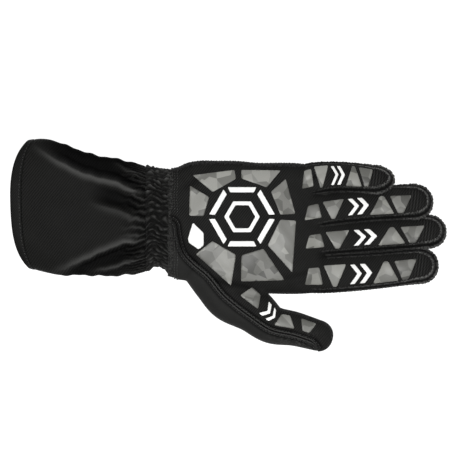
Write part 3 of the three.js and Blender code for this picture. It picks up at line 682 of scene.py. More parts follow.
def with_tip(limb, ahead, length, steps=18, power=2.2):
    t = np.sin(np.linspace(0, 1, steps + 1)[1:] * np.pi / 2)
    shrink = np.maximum((1 - np.minimum(t, 0.9995) ** power) ** (1 / power), 0.04)
    last = {key: limb[key][-1] for key in ("centre", "side", "top", "half", "rise", "drop", "slant")}
    beyond = {
        "centre": last["centre"] + np.outer(t * length, ahead),
        "side": np.tile(last["side"], (steps, 1)),
        "top": np.tile(last["top"], (steps, 1)),
        "half": last["half"] * shrink,
        "rise": last["rise"] * blend(shrink, 1, 0.08),
        "drop": last["drop"] * blend(shrink, 1, 0.08),
        "slant": np.zeros(steps),
    }
    joined = {key: np.concatenate([limb[key], beyond[key]]) for key in beyond}
    joined["power"] = limb["power"]
    return joined


def finger_stations(finger, steps=70):
    straight = finger["length"] - FINGER_TIP - SEAM_WIDTH
    at = np.linspace(0, 1, steps)
    row = {key: column(FINGER_PROFILE, key, at) for key in ("width", "height", "lift", "roll")}
    share = at * straight / finger["length"]
    place = blend(finger["root"], finger["tip"], share) + finger["bow"] * 4 * share * (1 - share)
    axis = blend(PALM_HEIGHT * AXIS_SHARE, FINGER_HEIGHT / 2 - FLATTEN / 2, smooth(0, 0.6, at))
    roll = np.radians(finger["roll"]) * row["roll"]
    lifted = axis + finger["lift"] * row["lift"]
    zero = 0 * at
    # The cloth keeps soft dents where the finger's joints bend it
    joint = 1 - 0.05 * np.exp(-(((at - 0.42) / 0.06) ** 2)) - 0.05 * np.exp(-(((at - 0.72) / 0.05) ** 2))
    limb = {
        "centre": np.stack([FINGER_ROOT + at * straight, place * PALM_WIDTH, lifted], -1),
        "side": np.stack([zero, np.cos(roll), -np.sin(roll)], -1),
        "top": np.stack([zero, np.sin(roll), np.cos(roll)], -1),
        "half": finger["width"] * row["width"] * blend(1, finger["taper"], at) / 2,
        "rise": FINGER_HEIGHT * row["height"] / 2 * joint,
        "drop": FINGER_HEIGHT * row["height"] / 2,
        "slant": zero,
        "power": FINGER_POWER,
    }
    return with_tip(limb, np.array([1.0, 0, 0]), FINGER_TIP, power=finger["point"]), steps


def thumb_stations(steps=80):
    at = np.linspace(0, 1, steps)
    plan = np.stack([column(THUMB_ROWS, "along", at) * PALM_LENGTH,
                     column(THUMB_ROWS, "across", at) * PALM_WIDTH], -1)
    start = plan[0].copy()
    stretch = (THUMB_LENGTH - THUMB_TIP) / np.linalg.norm(plan[-1] - start)
    plan = (plan - start) * stretch + start
    ahead = unit(np.gradient(plan, axis=0))
    axis = blend(PALM_HEIGHT, THUMB_HEIGHT, smooth(0.2, 0.7, at)) * AXIS_SHARE
    zero = 0 * at
    limb = {
        "centre": np.concatenate([plan, axis[:, None]], 1),
        "side": np.stack([-ahead[:, 1], ahead[:, 0], zero], -1),
        "top": np.stack([zero, zero, zero + 1], -1),
        "half": column(THUMB_ROWS, "width", at) * THUMB_WIDTH / 2,
        "rise": THUMB_HEIGHT * column(THUMB_ROWS, "height", at) - THUMB_HEIGHT * AXIS_SHARE,
        "drop": axis + FLATTEN * 0.6,
        "slant": zero,
        "power": SECTION_POWER,
    }
    direction = np.append(ahead[-1], 0.0)
    return with_tip(limb, direction, THUMB_TIP), steps, column(THUMB_ROWS, "seam", at)


hand = hand_stations(90)
thumb, thumb_steps, thumb_seam = thumb_stations()
fingers = {}
for finger in FINGER_ROWS:
    limb, count = finger_stations(finger)
    fingers[finger["name"]] = {"row": finger, "limb": limb, "steps": count}
print("limbs:", 2 + len(fingers))

# %% [markdown]
# The limbs overlap inside the hand. A voxel remesh melts them into one even skin, and a few rounds of
# smoothing turn the creases between fingers and palm into the soft hollows of real cloth.

# %% One skin for the hand
SKIN_VOXEL = 0.7
LINING_VOXEL = 2.4


def limb_rings(limb, sides, inset=0.0, floor=0.0):
    angle = np.linspace(0, 2 * np.pi, sides, endpoint=False)
    c, s = rounded(angle, limb["power"])
    u = (limb["half"][:, None] - inset) * c
    w = np.where(s > 0, limb["rise"][:, None] - inset, limb["drop"][:, None] - inset) * s
    points = (limb["centre"][:, None] + u[..., None] * limb["side"][:, None]
              + w[..., None] * limb["top"][:, None])
    points[..., 0] -= limb["slant"][:, None] * u / limb["half"][:, None]
    points[..., 2] = np.maximum(points[..., 2], floor)
    return points


def melted(name, bodies, voxel_mm):
    points, faces, base = [], [], 0
    for body_points, body_faces in bodies:
        points.append(body_points)
        faces += [[i + base for i in face] for face in body_faces]
        base += len(body_points)
    rough = mesh_object(name, np.concatenate(points), faces)
    face_outwards(rough)
    melt = rough.modifiers.new("melt", "REMESH")
    melt.mode = "VOXEL"
    melt.voxel_size = voxel_mm * MM
    graph = bpy.context.evaluated_depsgraph_get()
    mesh = bpy.data.meshes.new_from_object(rough.evaluated_get(graph))
    bpy.data.objects.remove(rough)
    flat = np.empty(len(mesh.vertices) * 3)
    mesh.vertices.foreach_get("co", flat)
    vertices = flat.reshape(-1, 3) / MM - ORIGIN
    quads = np.array([list(p.vertices) for p in mesh.polygons if len(p.vertices) == 4])
    bpy.data.meshes.remove(mesh)
    return vertices, quads


def relaxed(vertices, quads, rounds, strength):
    """Moves each vertex towards the middle of its neighbours. strength: one share for each vertex."""
    edges = np.concatenate([quads[:, [k, (k + 1) % 4]] for k in range(4)])
    edges = np.unique(np.sort(edges, 1), axis=0)
    count = len(vertices)
    degree = np.bincount(edges.ravel(), minlength=count).astype(float)
    result = vertices.copy()
    for _ in range(rounds):
        total = np.zeros_like(result)
        for k in range(3):
            total[:, k] = np.bincount(edges[:, 0], result[edges[:, 1], k], count)
            total[:, k] += np.bincount(edges[:, 1], result[edges[:, 0], k], count)
        result += (total / degree[:, None] - result) * strength[:, None]
    return result


# The smoothing is strongest between the knuckles and at the thumb's root
KNUCKLES_X, THUMB_ROOT = 117, (66, -50)
limbs = [hand, thumb] + [fingers[name]["limb"] for name in fingers]
skin, skin_quads = melted("skin", [closed_loft(limb_rings(limb, 96)) for limb in limbs], SKIN_VOXEL)
knuckles = np.exp(-(((skin[:, 0] - KNUCKLES_X) / 9) ** 2)) * smooth(-60, -45, skin[:, 1])
thumb_root = np.exp(-(((skin[:, 0] - THUMB_ROOT[0]) / 16) ** 2) - ((skin[:, 1] - THUMB_ROOT[1]) / 10) ** 2)
softness = np.clip(0.35 + 0.65 * np.maximum(knuckles, thumb_root), 0, 1)
skin = relaxed(skin, skin_quads, 6, 0.5 * np.ones(len(skin)))
skin = relaxed(skin, skin_quads, 26, 0.6 * (softness - 0.35))
skin[:, 2] = np.maximum(skin[:, 2], 0)
print("hand skin:", len(skin), "vertices")

# %% [markdown]
# ## Palm or back
# The skin is cut into the two panels. Every vertex belongs to the limb whose axis it lies nearest to, in
# shares of that limb's section, and its height over that limb's own middle plane tells palm from back. The
# raised seams will cover the cut. Round the heel and the thumb, the back panel wraps over to the palm
# side as far as the thumb's seam.

# %% Sorting the skin
CHUNK = 20000


def in_chunks(count):
    """Slices that keep the tables of distances small."""
    return [slice(start, start + CHUNK) for start in range(0, count, CHUNK)]


def nearest_station(limb, points):
    """For each point: the nearest station, its share across and its height over the middle plane."""
    centre, side, top = limb["centre"], limb["side"], limb["top"]
    best = np.zeros(len(points), int)
    for part in in_chunks(len(points)):
        best[part] = ((points[part, None, :2] - centre[None, :, :2]) ** 2).sum(-1).argmin(1)
    offset = points - centre[best]
    across = (offset * side[best]).sum(1)
    up = (offset * top[best]).sum(1)
    ahead = np.linalg.norm(offset - across[:, None] * side[best] - up[:, None] * top[best], axis=1)
    half = limb["half"][best]
    far = (np.abs(across) / half) ** limb["power"] + (np.abs(up) / limb["rise"][best]) ** limb["power"]
    return best, across / half, up, far + (ahead / 4) ** 2


def heel_line():
    points = [np.array([a * PALM_LENGTH, b * PALM_WIDTH]) for a, b in HEEL_ROWS]
    centre, side, half = thumb["centre"][:, :2], thumb["side"][:, :2], thumb["half"]
    for i in range(int(thumb_steps * 0.29), thumb_steps, 3):
        points.append(centre[i] + side[i] * thumb_seam[i] * half[i])
    last = thumb_steps - 1
    ahead = np.array([side[last, 1], -side[last, 0]])
    points.append(centre[last] + ahead * THUMB_TIP * 0.8 - side[last] * 1.4 * half[last])
    return np.array(points)


def even_path(points, step_mm):
    """A smooth path through points, with its points a step apart."""
    length = lengths_along(points)
    rows = [{"at": d, **{str(k): p[k] for k in range(points.shape[1])}} for d, p in zip(length, points)]
    at = np.linspace(0, length[-1], max(3, int(length[-1] / step_mm) + 1))
    return np.stack([column(rows, str(k), at) for k in range(points.shape[1])], -1)


def inside(polygon, points):
    x, y = points[:, 0], points[:, 1]
    result = np.zeros(len(points), bool)
    for (x1, y1), (x2, y2) in zip(polygon, np.roll(polygon, -1, axis=0)):
        crosses = (y1 > y) != (y2 > y)
        result ^= crosses & (x < (x2 - x1) * (y - y1) / (y2 - y1 + 1e-12) + x1)
    return result


sorted_by = [nearest_station(limb, skin) for limb in limbs]
far = np.stack([row[3] for row in sorted_by])
owner = far.argmin(0)
up = np.choose(owner, [row[2] for row in sorted_by])
seam_path = even_path(heel_line(), 1.0)
# The region on the outer side of the thumb's seam is closed by corners well outside the glove
ASIDE_MM, FAR_MM = 60, 300
corners = [[seam_path[-1, 0] + ASIDE_MM, -FAR_MM], [-ASIDE_MM, -FAR_MM], [-ASIDE_MM, seam_path[0, 1]]]
wrap = np.concatenate([seam_path, corners])
on_back = (up < 0) | inside(wrap, skin)
print("palm vertices:", int((~on_back).sum()), "back vertices:", int(on_back.sum()))

# %% [markdown]
# An empty glove never lies smooth. Slow waves and a few creases at the thumb's root and across the palm
# are pressed into the skin from above, and fade out at the seams.

# %% Creases
# x, y at the start, x, y at the end, depth and breadth, all in mm
CREASES = [
    (30, -38, 66, -46, 0.9, 2.6),
    (52, -49, 74, -53, 0.8, 2.0),
    (84, -40, 112, -32, 0.5, 2.2),
    (8, 30, 30, 44, 0.6, 2.5),
    (12, -10, 22, -30, 0.5, 2.5),
    (104, 36, 118, 44, 0.9, 2.0),
]
SLOW_WAVES = [(0.22, 0.16, 0.09, 0.4), (0.16, -0.11, 0.21, 1.3), (0.1, 0.31, -0.17, 2.6),
              (0.06, 0.6, 0.45, 0.9)]


def pressed(points, mask, tones):
    """Presses the creases in, and paints shade into them in tones."""
    x, y = points[:, 0], points[:, 1]
    push = ripple(x, y, *SLOW_WAVES)
    for x1, y1, x2, y2, depth, breadth in CREASES:
        line = np.array([x2 - x1, y2 - y1], float)
        t = np.clip(((x - x1) * line[0] + (y - y1) * line[1]) / (line @ line), 0, 1)
        away = np.hypot(x - x1 - t * line[0], y - y1 - t * line[1])
        ends = np.sin(np.pi * np.clip(t, 0.04, 0.96)) ** 0.5
        push = push - depth * ends * np.exp(-((away / breadth) ** 2))
        push = push + 0.5 * depth * ends * np.exp(-(((away - 2 * breadth) / breadth) ** 2))
        # Painted shade along each crease
        tones -= 0.25 * depth * ends * mask * np.exp(-((away / breadth) ** 2))
    return points + np.stack([0 * x, 0 * x, push * mask], -1)


def distance_to(path, points):
    away = np.empty(len(points))
    for part in in_chunks(len(points)):
        away[part] = np.sqrt(((points[part, None, :2] - path[None]) ** 2).sum(-1)).min(1)
    return away


print("creases:", len(CREASES))

# %% [markdown]
# The same painted highlight and shade that the gauntlet's folds get is put on the skin. Small even waves of
# painted light and shade on the palm side stand for the cloth that is eased round the fingertips, and a fixed
# seed speckles the yarn of the outer thumb.

# %% Tones of the skin
EASE_MM = 2.3
# Painted shade: the cloth is darkest where it is pulled in along the thumb's seam and along the seams of the
# fingers
skin_tone = np.full(len(skin), FLAT_TONE)
seam_shade = np.exp(-(((distance_to(seam_path, skin) - 2.9) / 1.1) ** 2)) * smooth(6, 10, skin[:, 2])
skin_tone -= 0.34 * seam_shade
across = np.abs(np.choose(owner, [row[1] for row in sorted_by]))
# Painted shade on the edges of the fingers, from their roots on
skin_tone -= 0.3 * smooth(0.84, 0.96, across) * (owner > 1) * smooth(106, 130, skin[:, 0])
# Painted light and shade in small even waves for the ease round the fingertips
for i, finger in enumerate(FINGER_ROWS):
    from_tip = FINGER_ROOT + finger["length"] - skin[:, 0]
    eased = np.exp(-(((from_tip - 16) / 6) ** 2)) * (owner == i + 2) * smooth(0.95, 0.5, across)
    skin_tone += 0.22 * eased * np.sin(2 * np.pi * (from_tip + 0.15 * skin[:, 1]) / EASE_MM)
# The outer thumb is a speckled yarn towards its tip
speckled = np.exp(-(((skin[:, 0] - 96) / 17) ** 2)) * smooth(-77, -83, skin[:, 1])
SPECKLE_SEED = 5
skin_tone += 0.75 * speckled * (np.random.default_rng(SPECKLE_SEED).random(len(skin)) ** 3 - 0.15)
skin = pressed(skin, smooth(1.0, 5.0, up) * smooth(3, 7, skin[:, 2]), skin_tone)
skin_tone = np.clip(skin_tone, 0, 1)
skin_tree = BVHTree.FromPolygons([Vector(v) for v in skin], skin_quads.tolist())
print("tones of the skin:", skin_tone.min(), "to", skin_tone.max())

# %% [markdown]
# The two panels are made from the faces of the skin. The wrist end stays open, and a thin inner face of
# each panel can be seen through the cuff, so the back panel also carries a coarser lining side, the inside
# of the cloth, which faces into the hollow.

# %% Panels
OPEN_END_MM = 0.2
HAND_WALL = 1.5
LINING_FLOOR = 1.2
# Where half a limb's breadth is no more than this, it has no hollow, because its walls come together
SLIM_MM = 4.5


def part_of_skin(keep):
    faces = skin_quads[keep]
    used, index = np.unique(faces, return_inverse=True)
    return skin[used], index.reshape(-1, 4), skin_tone[used]


face_back = on_back[skin_quads].sum(1) >= 3
face_x = skin[skin_quads][:, :, 0].mean(1)
open_end = face_x > OPEN_END_MM
palm_points, palm_quads, palm_tones = part_of_skin(~face_back & open_end)
palm = mesh_object("palm_and_finger_fronts", palm_points, palm_quads)
paint_fold_shading(palm, palm_tones)
finished(palm, microfibre, "palm_microfibre", "palm_panel")

hollow_limbs = []
for limb in limbs:
    keep = limb["half"] > SLIM_MM
    part = {key: (value[keep] if isinstance(value, np.ndarray) else value) for key, value in limb.items()}
    hollow_limbs.append(closed_loft(limb_rings(part, 40, HAND_WALL, HAND_WALL)))
lining, lining_quads = melted("lining", hollow_limbs, LINING_VOXEL)
lining = relaxed(lining, lining_quads, 3, 0.4 * np.ones(len(lining)))
lining[:, 2] = np.maximum(lining[:, 2], LINING_FLOOR)
lining_quads = lining_quads[lining[lining_quads][:, :, 0].mean(1) > OPEN_END_MM][:, ::-1]
back_points, back_quads, back_tones = part_of_skin(face_back & open_end)
back = mesh_object("back_and_outer_thumb", np.concatenate([back_points, lining]),
                   np.concatenate([back_quads, lining_quads + len(back_points)]))
paint_fold_shading(back, back_tones)
finished(back, knit, "stretch_knit", "back_panel")

# %% [markdown]
# ## Raised outside seams
# The finger seams are sewn on the outside, so the cut edges of both panels stand out as a flat double
# edge. It is swept round each finger: a profile of two layers with a groove between them, with a slight
# ripple because cut cloth never stays flat.

# %% Seam sweep
# Profiles: outwards from the limb's edge, up, in mm. Tones: one for each point of a profile, painted
# highlight on the raised edges and painted shade in the groove and at the foot
SEAM_PROFILE = [(-3.0, 1.2), (-2.7, 3.8), (-2.3, 4.4), (-1.8, 4.1), (-1.2, 3.0), (-0.6, 1.5), (0.0, 0.9),
                (0.6, 1.1), (1.1, 1.0), (1.45, 0.5), (1.5, -0.2), (1.1, -0.8), (-0.8, -1.0), (-3.0, 0.2)]
SEAM_PAINTED_SHADING = [0.0, 0.2, 1.0, 0.8, 0.1, 0.0, 0.1, 0.6, 0.7, 0.5, 0.3, 0.1, 0.0, 0.0]


def finger_edge(limb, steps, point):
    """The middle line of the seam round a finger, and its direction up."""
    reach = limb["side"][:steps] * limb["half"][:steps, None]
    plus = limb["centre"][:steps] + reach
    minus = limb["centre"][:steps] - reach
    end, side, top = [limb[key][steps - 1] for key in ("centre", "side", "top")]
    ahead = np.cross(side, top)
    turn = np.linspace(0, np.pi, 60)[1:-1]
    c, s = rounded(turn, point)
    tip = end + np.outer(c * limb["half"][steps - 1], side) + np.outer(s * FINGER_TIP, ahead)
    points = np.concatenate([plus, tip, minus[::-1]])
    tops = limb["top"][:steps]
    tops = np.concatenate([tops, np.tile(top, (len(tip), 1)), tops[::-1]])
    return points, tops


def swept(name, points, tops, profile, width=1.0, wave=0.0, pitch=9.0, ribs=0.0, rib_mm=1.6, tones=None,
          shade=1.0):
    """A profile along a path. wave lets it swing, and ribs make it swell at every rib_mm."""
    out = unit(np.cross(tops, unit(np.gradient(points, axis=0))))
    length = lengths_along(points)
    width = width * np.ones(len(points))
    turn, rib = 2 * np.pi / pitch, 2 * np.pi / rib_mm
    swing = wave * ripple(length, 0, (1, turn, 0, 0.3), (0.6, turn / 0.43, 0, 1.0))
    swell = 1 + ribs * ripple(length, 0, (1, rib, 0, 0), (0.6, rib * 0.59, 0, 1.2), (0.4, rib * 1.57, 0, 2.1))
    body = []
    for n, t in profile:
        lift = t * (0.3 + 0.7 * width) * (swell if t > 0 else 1) + swing * width * (n > 0)
        body.append(points + out * (n * width * swell)[:, None] + tops * lift[:, None])
    body, faces = closed_loft(np.stack(body, 1))
    body[:, 2] = np.maximum(body[:, 2], 0.0)
    piece = mesh_object(name, body, faces)
    face_outwards(piece)
    # Painted highlight and shade across the profile, scaled along the path by shade
    if tones:
        paint_fold_shading(piece, np.outer(shade * np.ones(len(points)), tones))
    return piece


def resampled(points, tops, step_mm):
    length = lengths_along(points)
    at = np.linspace(0, length[-1], int(length[-1] / step_mm) + 1)
    points, tops = [np.stack([np.interp(at, length, a[:, k]) for k in range(3)], -1) for a in (points, tops)]
    return points, tops, at / length[-1]


print("points in a seam's profile:", len(SEAM_PROFILE))

# %% [markdown]
# A seam starts thin where two fingers part and grows towards the tip. The outer edges of the hand carry on
# into the little and the index finger. Between the fingers the seam is darkened by painted shade, less on the
# hand's outer edges, and the shade fades towards the tips, where its yarns show.

# %% Finger seams
# Along the hand, in mm: on its outer edges, and between two fingers
SEAM_STARTS = (92, 104)
for name, item in fingers.items():
    points, tops = finger_edge(item["limb"], item["steps"], item["row"]["point"])
    points, tops, share = resampled(points, tops, 0.35)
    outer_edge = share < 0.5 if name == "little" else share > (0.5 if name == "index" else 2)
    x, end = points[:, 0], points[:, 0].max()
    begins = np.where(outer_edge, *SEAM_STARTS)
    width = 0.22 + 0.66 * smooth(0, 20, x - begins) + 0.5 * smooth(end - 30, end - 6, x)
    # Painted shade: darkest between the fingers, lighter on the hand's outer edges and towards the tips
    shade = 0.25 + 0.25 * outer_edge * smooth(122, 148, x) + 0.5 * smooth(end - 34, end - 8, x)
    seam = swept(f"{name}_finger_seam", points, tops, SEAM_PROFILE, width, wave=0.35, ribs=0.09, rib_mm=2.4,
                 tones=SEAM_PAINTED_SHADING, shade=np.minimum(shade, 1))
    finished(seam, heathered, "stretch_knit")

# %% [markdown]
# The sides of the hand carry the same seam, rolled over and oversewn, so it looks like a thin dark cord
# with close ribs.

# %% Side seams of the hand
CORD_PROFILE = [(-2.4, 3.8), (-2.0, 5.3), (-1.3, 5.3), (-0.5, 4.3), (0.3, 3.1), (0.8, 1.6), (1.0, 0.3),
                (1.0, -0.4), (0.4, -1.0), (-0.6, -1.2), (-2.4, 0.6)]


def hand_edge(side, start_mm, end_mm):
    points = hand["centre"] + side * hand["side"] * hand["half"][:, None]
    points[:, 0] -= side * hand["slant"]
    keep = (points[:, 0] > start_mm) & (points[:, 0] < end_mm)
    return points[keep][::side], hand["top"][keep][::side]


SIDE_SEAMS = [("little_side_seam", 1, 0.5, 1), ("index_side_seam", -1, 70, 0.55)]
SIDE_SEAM_END = 116
for name, side, start, full in SIDE_SEAMS:
    points, tops, _ = resampled(*hand_edge(side, start, SIDE_SEAM_END), 0.3)
    taper = (0.2 + 0.8 * smooth(-116, -98, -points[:, 0])) * full
    side_seam = swept(name, points, tops, CORD_PROFILE, taper, wave=0.15, pitch=14, ribs=0.13, rib_mm=2.1)
    finished(side_seam, bound_edge, "stretch_knit")

# %% [markdown]
# The thumb's inner edge has a narrow seam too, where its front and its back meet, from the crotch to the
# tip.

# %% Thumb's inner seam
def thumb_edge():
    start, last = int(thumb_steps * 0.5), thumb_steps - 1
    reach = thumb["side"] * thumb["half"][:, None]
    edge = (thumb["centre"] + reach)[start:thumb_steps]
    side = thumb["side"][last]
    c, s = rounded(np.linspace(0, np.pi * 0.9, 50)[1:], 2.2)
    tip = thumb["centre"][last] + np.outer(c * thumb["half"][last], side)
    tip += np.outer(s * THUMB_TIP, np.array([side[1], -side[0], 0.0]))
    points = np.concatenate([edge, tip])
    return points, np.tile([0.0, 0.0, 1.0], (len(points), 1))


points, tops, share = resampled(*thumb_edge(), 0.4)
thin = 0.3 + 0.25 * smooth(0, 0.2, share)
thumb_cord = swept("thumb_inner_seam", points, tops, CORD_PROFILE, thin, wave=0.1)
finished(thumb_cord, bound_edge, "stretch_knit")

# %% [markdown]
# ## The thumb's seam
# From the wrist round the ball of the thumb, the palm panel is lapped over the outer thumb panel and
# stitched, which shows as a raised ridge. The line is dropped onto the skin, and the ridge is swept along it.

# %% Ridge along the thumb's seam
WELL_ABOVE_MM = 80
MIDDLE_MM = 9
RIDGE_STOPS_MM = 10


def dropped(plan):
    """The places of plan points on the skin seen from above, and the skin's direction there."""
    places, directions = [], []
    for x, y in plan:
        hit, normal, _, _ = skin_tree.ray_cast(Vector((x, y, WELL_ABOVE_MM)), Vector((0, 0, -1)))
        if hit is None:
            hit, normal, _, _ = skin_tree.find_nearest(Vector((x, y, MIDDLE_MM)))
        if normal.z < 0:
            normal = -normal
        places.append(tuple(hit))
        directions.append(tuple(normal))
    return np.array(places), np.array(directions)


def softened(values, rounds=6):
    for _ in range(rounds):
        values[1:-1] = (values[:-2] + 2 * values[1:-1] + values[2:]) / 4
    return values


RIDGE_PROFILE = [(2.4, -0.6), (2.2, 0.2), (1.7, 1.2), (1.1, 1.3), (0.5, 0.45), (0.1, 0.4), (-0.5, 1.25),
                 (-1.1, 1.2), (-1.7, 0.2), (-2.1, -0.6)]
RIDGE_PAINTED_SHADING = [0.0, 0.2, 0.8, 0.85, 0.0, 0.0, 0.75, 0.9, 0.1, 0.0]
ridge_plan = seam_path[seam_path[:, 0] > 1.0][:-RIDGE_STOPS_MM]
places, directions = dropped(ridge_plan)
places, directions = softened(places), unit(softened(directions, 20))
ridge_points, ridge_tops, share = resampled(places, directions, 0.5)
# At its start it is darkened by a painted shadow of the wrist's gathers, and it dies out at the thumb's tip
ridge_width = 1 - 0.8 * smooth(0.94, 1, share) - 0.35 * smooth(0.24, 0.06, share)
ridge_painted_shadow = 1 - 0.6 * smooth(0.26, 0.1, share)
ridge = swept("thumb_seam_ridge", ridge_points, ridge_tops, RIDGE_PROFILE, ridge_width, ribs=0.16, rib_mm=2.6,
              tones=RIDGE_PAINTED_SHADING, shade=ridge_painted_shadow)
finished(ridge, microfibre, "palm_microfibre")

# %% [markdown]
# ## Where hand and band meet
# A narrow tape covers the join between the gathered band and the hand on all sides.

# %% Wrist tape
def hand_ring(x_mm, proud):
    at = max(x_mm, 0) / PALM_LENGTH
    row = {key: float(column(PALM_ROWS, key, at)) for key in ("centre", "width", "height")}
    axis = PALM_HEIGHT * AXIS_SHARE
    angle = np.linspace(0, 2 * np.pi, 300, endpoint=False)
    c, s = rounded(angle, SECTION_POWER)
    y = row["centre"] * PALM_WIDTH + (row["width"] * PALM_WIDTH / 2 + proud) * c
    rise = PALM_HEIGHT * row["height"] - axis + proud
    z = axis + np.where(s > 0, rise, axis + FLATTEN + proud) * s
    pull = 0.15 * np.sin(angle * GATHER_COUNT) + 0.3 * np.sin(angle * 9 + 1)
    return np.stack([x_mm + pull, y, np.maximum(z, max(-proud - 0.4, 0))], -1)


# The way from the hand's end and how far it stands off the cloth, in mm
TAPE_OUTSIDE = [(-2.0, -0.5), (-1.6, 0.0), (-0.6, 0.2), (0.8, 0.2), (1.9, 0.1), (2.4, -0.2)]
TAPE_INSIDE = [(-1.6, -2.4), (0.0, -2.4), (2.2, -2.4)]
tape = sleeve("wrist_tape", rings(hand_ring, TAPE_OUTSIDE), rings(hand_ring, TAPE_INSIDE))
finished(tape, elastic, "twill_hem")

# %% [markdown]
# ## Silicone print
# The print is a thin layer that follows the cloth and has rounded corners and a soft edge. Each shape is
# outlined in plan, its corners are rounded, its inside is filled with even triangles, and every point is
# dropped onto the skin. The edge starts just under the cloth, so no gap shows.

# %% Print outlines
PRINT_MM = 0.5
CORNER_MM = 1.3
WHITE_MM = 0.3
# Start and end angle round the hexagon, inner radius, outer radius at the start and at the end
PALM_SHARDS = [
    ("palm_grip_1", -48, -4, 0.29, 0.57, 0.41, "light"),
    ("palm_grip_2", 3, 41, 0.29, 0.405, 0.44, "mid"),
    ("palm_grip_3", 50, 91, 0.29, 0.46, 0.355, "light"),
    ("palm_grip_4", 99, 140, 0.29, 0.36, 0.49, "light"),
    ("palm_grip_5", 149, 179, 0.29, 0.46, 0.4, "mid"),
    ("palm_grip_6", 219, 261, 0.29, 0.45, 0.53, "mid"),
    ("palm_grip_7", 269, 304, 0.29, 0.49, 0.58, "dark"),
]
# Corners of the first bar: radius and angle. The core is a ring between two hexagons
HEXAGON_BAR = [(0.205, 4), (0.25, 4), (0.25, 56), (0.205, 56)]
HEXAGON_RINGS = (0.135, 0.1)
# The blank white patch has six corners, in mm from the glove's own origin
PATCH_MM = [(17.5, 4.8), (25.9, -3.4), (25.9, -12.8), (22.0, -16.0), (14.4, -10.8), (13.7, -7.6)]
# Start and end along the limb, near and far side, lean of the ends, bend of a chevron, all in shares
FINGER_SHARDS = [
    ("root_grip", 0.08, 0.2, 0.8, 0.8, 0.015, 0, "mid"),
    ("lower_grip", 0.26, 0.37, 1, 1, -0.04, 0, "light"),
    ("chevron_1", 0.44, 0.48, 0.9, 0.9, 0, 0.06, "white"),
    ("chevron_2", 0.52, 0.565, 0.9, 0.9, 0, 0.06, "white"),
    ("upper_grip", 0.675, 0.8, 1, 1, 0.045, 0, "mid"),
    ("tip_grip", 0.84, 0.96, 1, 0.9, -0.035, 0, "dark"),
]
THUMB_SHARDS = [
    ("root_grip", 0.4, 0.52, 0.2, 0.75, 0.02, 0, "dark"),
    ("chevron_1", 0.56, 0.59, 0.1, 0.8, 0, 0.035, "white"),
    ("chevron_2", 0.62, 0.65, 0.1, 0.8, 0, 0.035, "white"),
    ("upper_grip", 0.72, 0.82, 0.05, 0.75, 0.02, 0, "light"),
    ("tip_grip", 0.88, 0.96, 0.05, 0.75, -0.015, 0, "mid"),
]


def polar(radius, degrees):
    a = math.radians(degrees)
    return np.array(HEXAGON) + radius * PALM_WIDTH * np.array([math.cos(a), math.sin(a)])


def on_limb(limb, steps, at, across):
    place = at * (steps - 1)
    i = min(int(place), steps - 2)
    height = (1 - abs(across) ** limb["power"]) ** (1 / limb["power"])
    a, b = [limb["centre"][k] + across * limb["half"][k] * limb["side"][k]
            + height * limb["rise"][k] * limb["top"][k] for k in (i, i + 1)]
    return blend(a, b, place - i)[:2]


def limb_outline(limb, steps, start, end, near, far, lean, bend):
    middle = (near + far) / 2
    corners = [(start - lean, near), (end + lean, near)] + ([(end + bend, middle)] if bend else [])
    corners += [(end - lean, far), (start + lean, far)] + ([(start + bend, middle)] if bend else [])
    return [on_limb(limb, steps, at, across) for at, across in corners]


def rounded_outline(corners, radius, step=0.7):
    corners, loop = np.array(corners), []
    for before, here, after in zip(np.roll(corners, 1, 0), corners, np.roll(corners, -1, 0)):
        r = min(radius, 0.35 * np.linalg.norm(before - here), 0.35 * np.linalg.norm(after - here))
        a = here + (before - here) / np.linalg.norm(before - here) * r
        b = here + (after - here) / np.linalg.norm(after - here) * r
        for t in np.linspace(0, 1, 6):
            loop.append((1 - t) ** 2 * a + 2 * t * (1 - t) * here + t * t * b)
    loop = np.array(loop + [loop[0]])
    length = lengths_along(loop)
    at = np.linspace(0, length[-1], max(12, int(length[-1] / step)), endpoint=False)
    return np.stack([np.interp(at, length, loop[:, k]) for k in range(2)], -1)


print("shards on the palm, a finger and the thumb:", len(PALM_SHARDS), len(FINGER_SHARDS), len(THUMB_SHARDS))

# %% [markdown]
# Blender's Delaunay call joins the rounded loop and the even points inside it into a clean flat mesh. The
# top is lifted off the skin, and a skirt of faces leads down to the cloth all round.

# %% Print plates
# The edge of a print slopes over this breadth, with a bend on the way, and ends a little under the cloth
SLOPE_MM, BEND_MM, SUNK_MM = 0.35, 0.1, 0.25


def inset_loop(loop, distance):
    tangent = unit(np.roll(loop, -1, axis=0) - np.roll(loop, 1, axis=0))
    inward = np.stack([-tangent[:, 1], tangent[:, 0]], -1)
    return loop + inward * distance


def anticlockwise(loop):
    x, y = loop[:, 0], loop[:, 1]
    area = (x * np.roll(y, -1) - np.roll(x, -1) * y).sum()
    return loop if area > 0 else loop[::-1]


def within(loops, points):
    """True inside the first loop and outside the others, which are holes."""
    result = inside(loops[0], points)
    for hole in loops[1:]:
        result &= ~inside(hole, points)
    return result


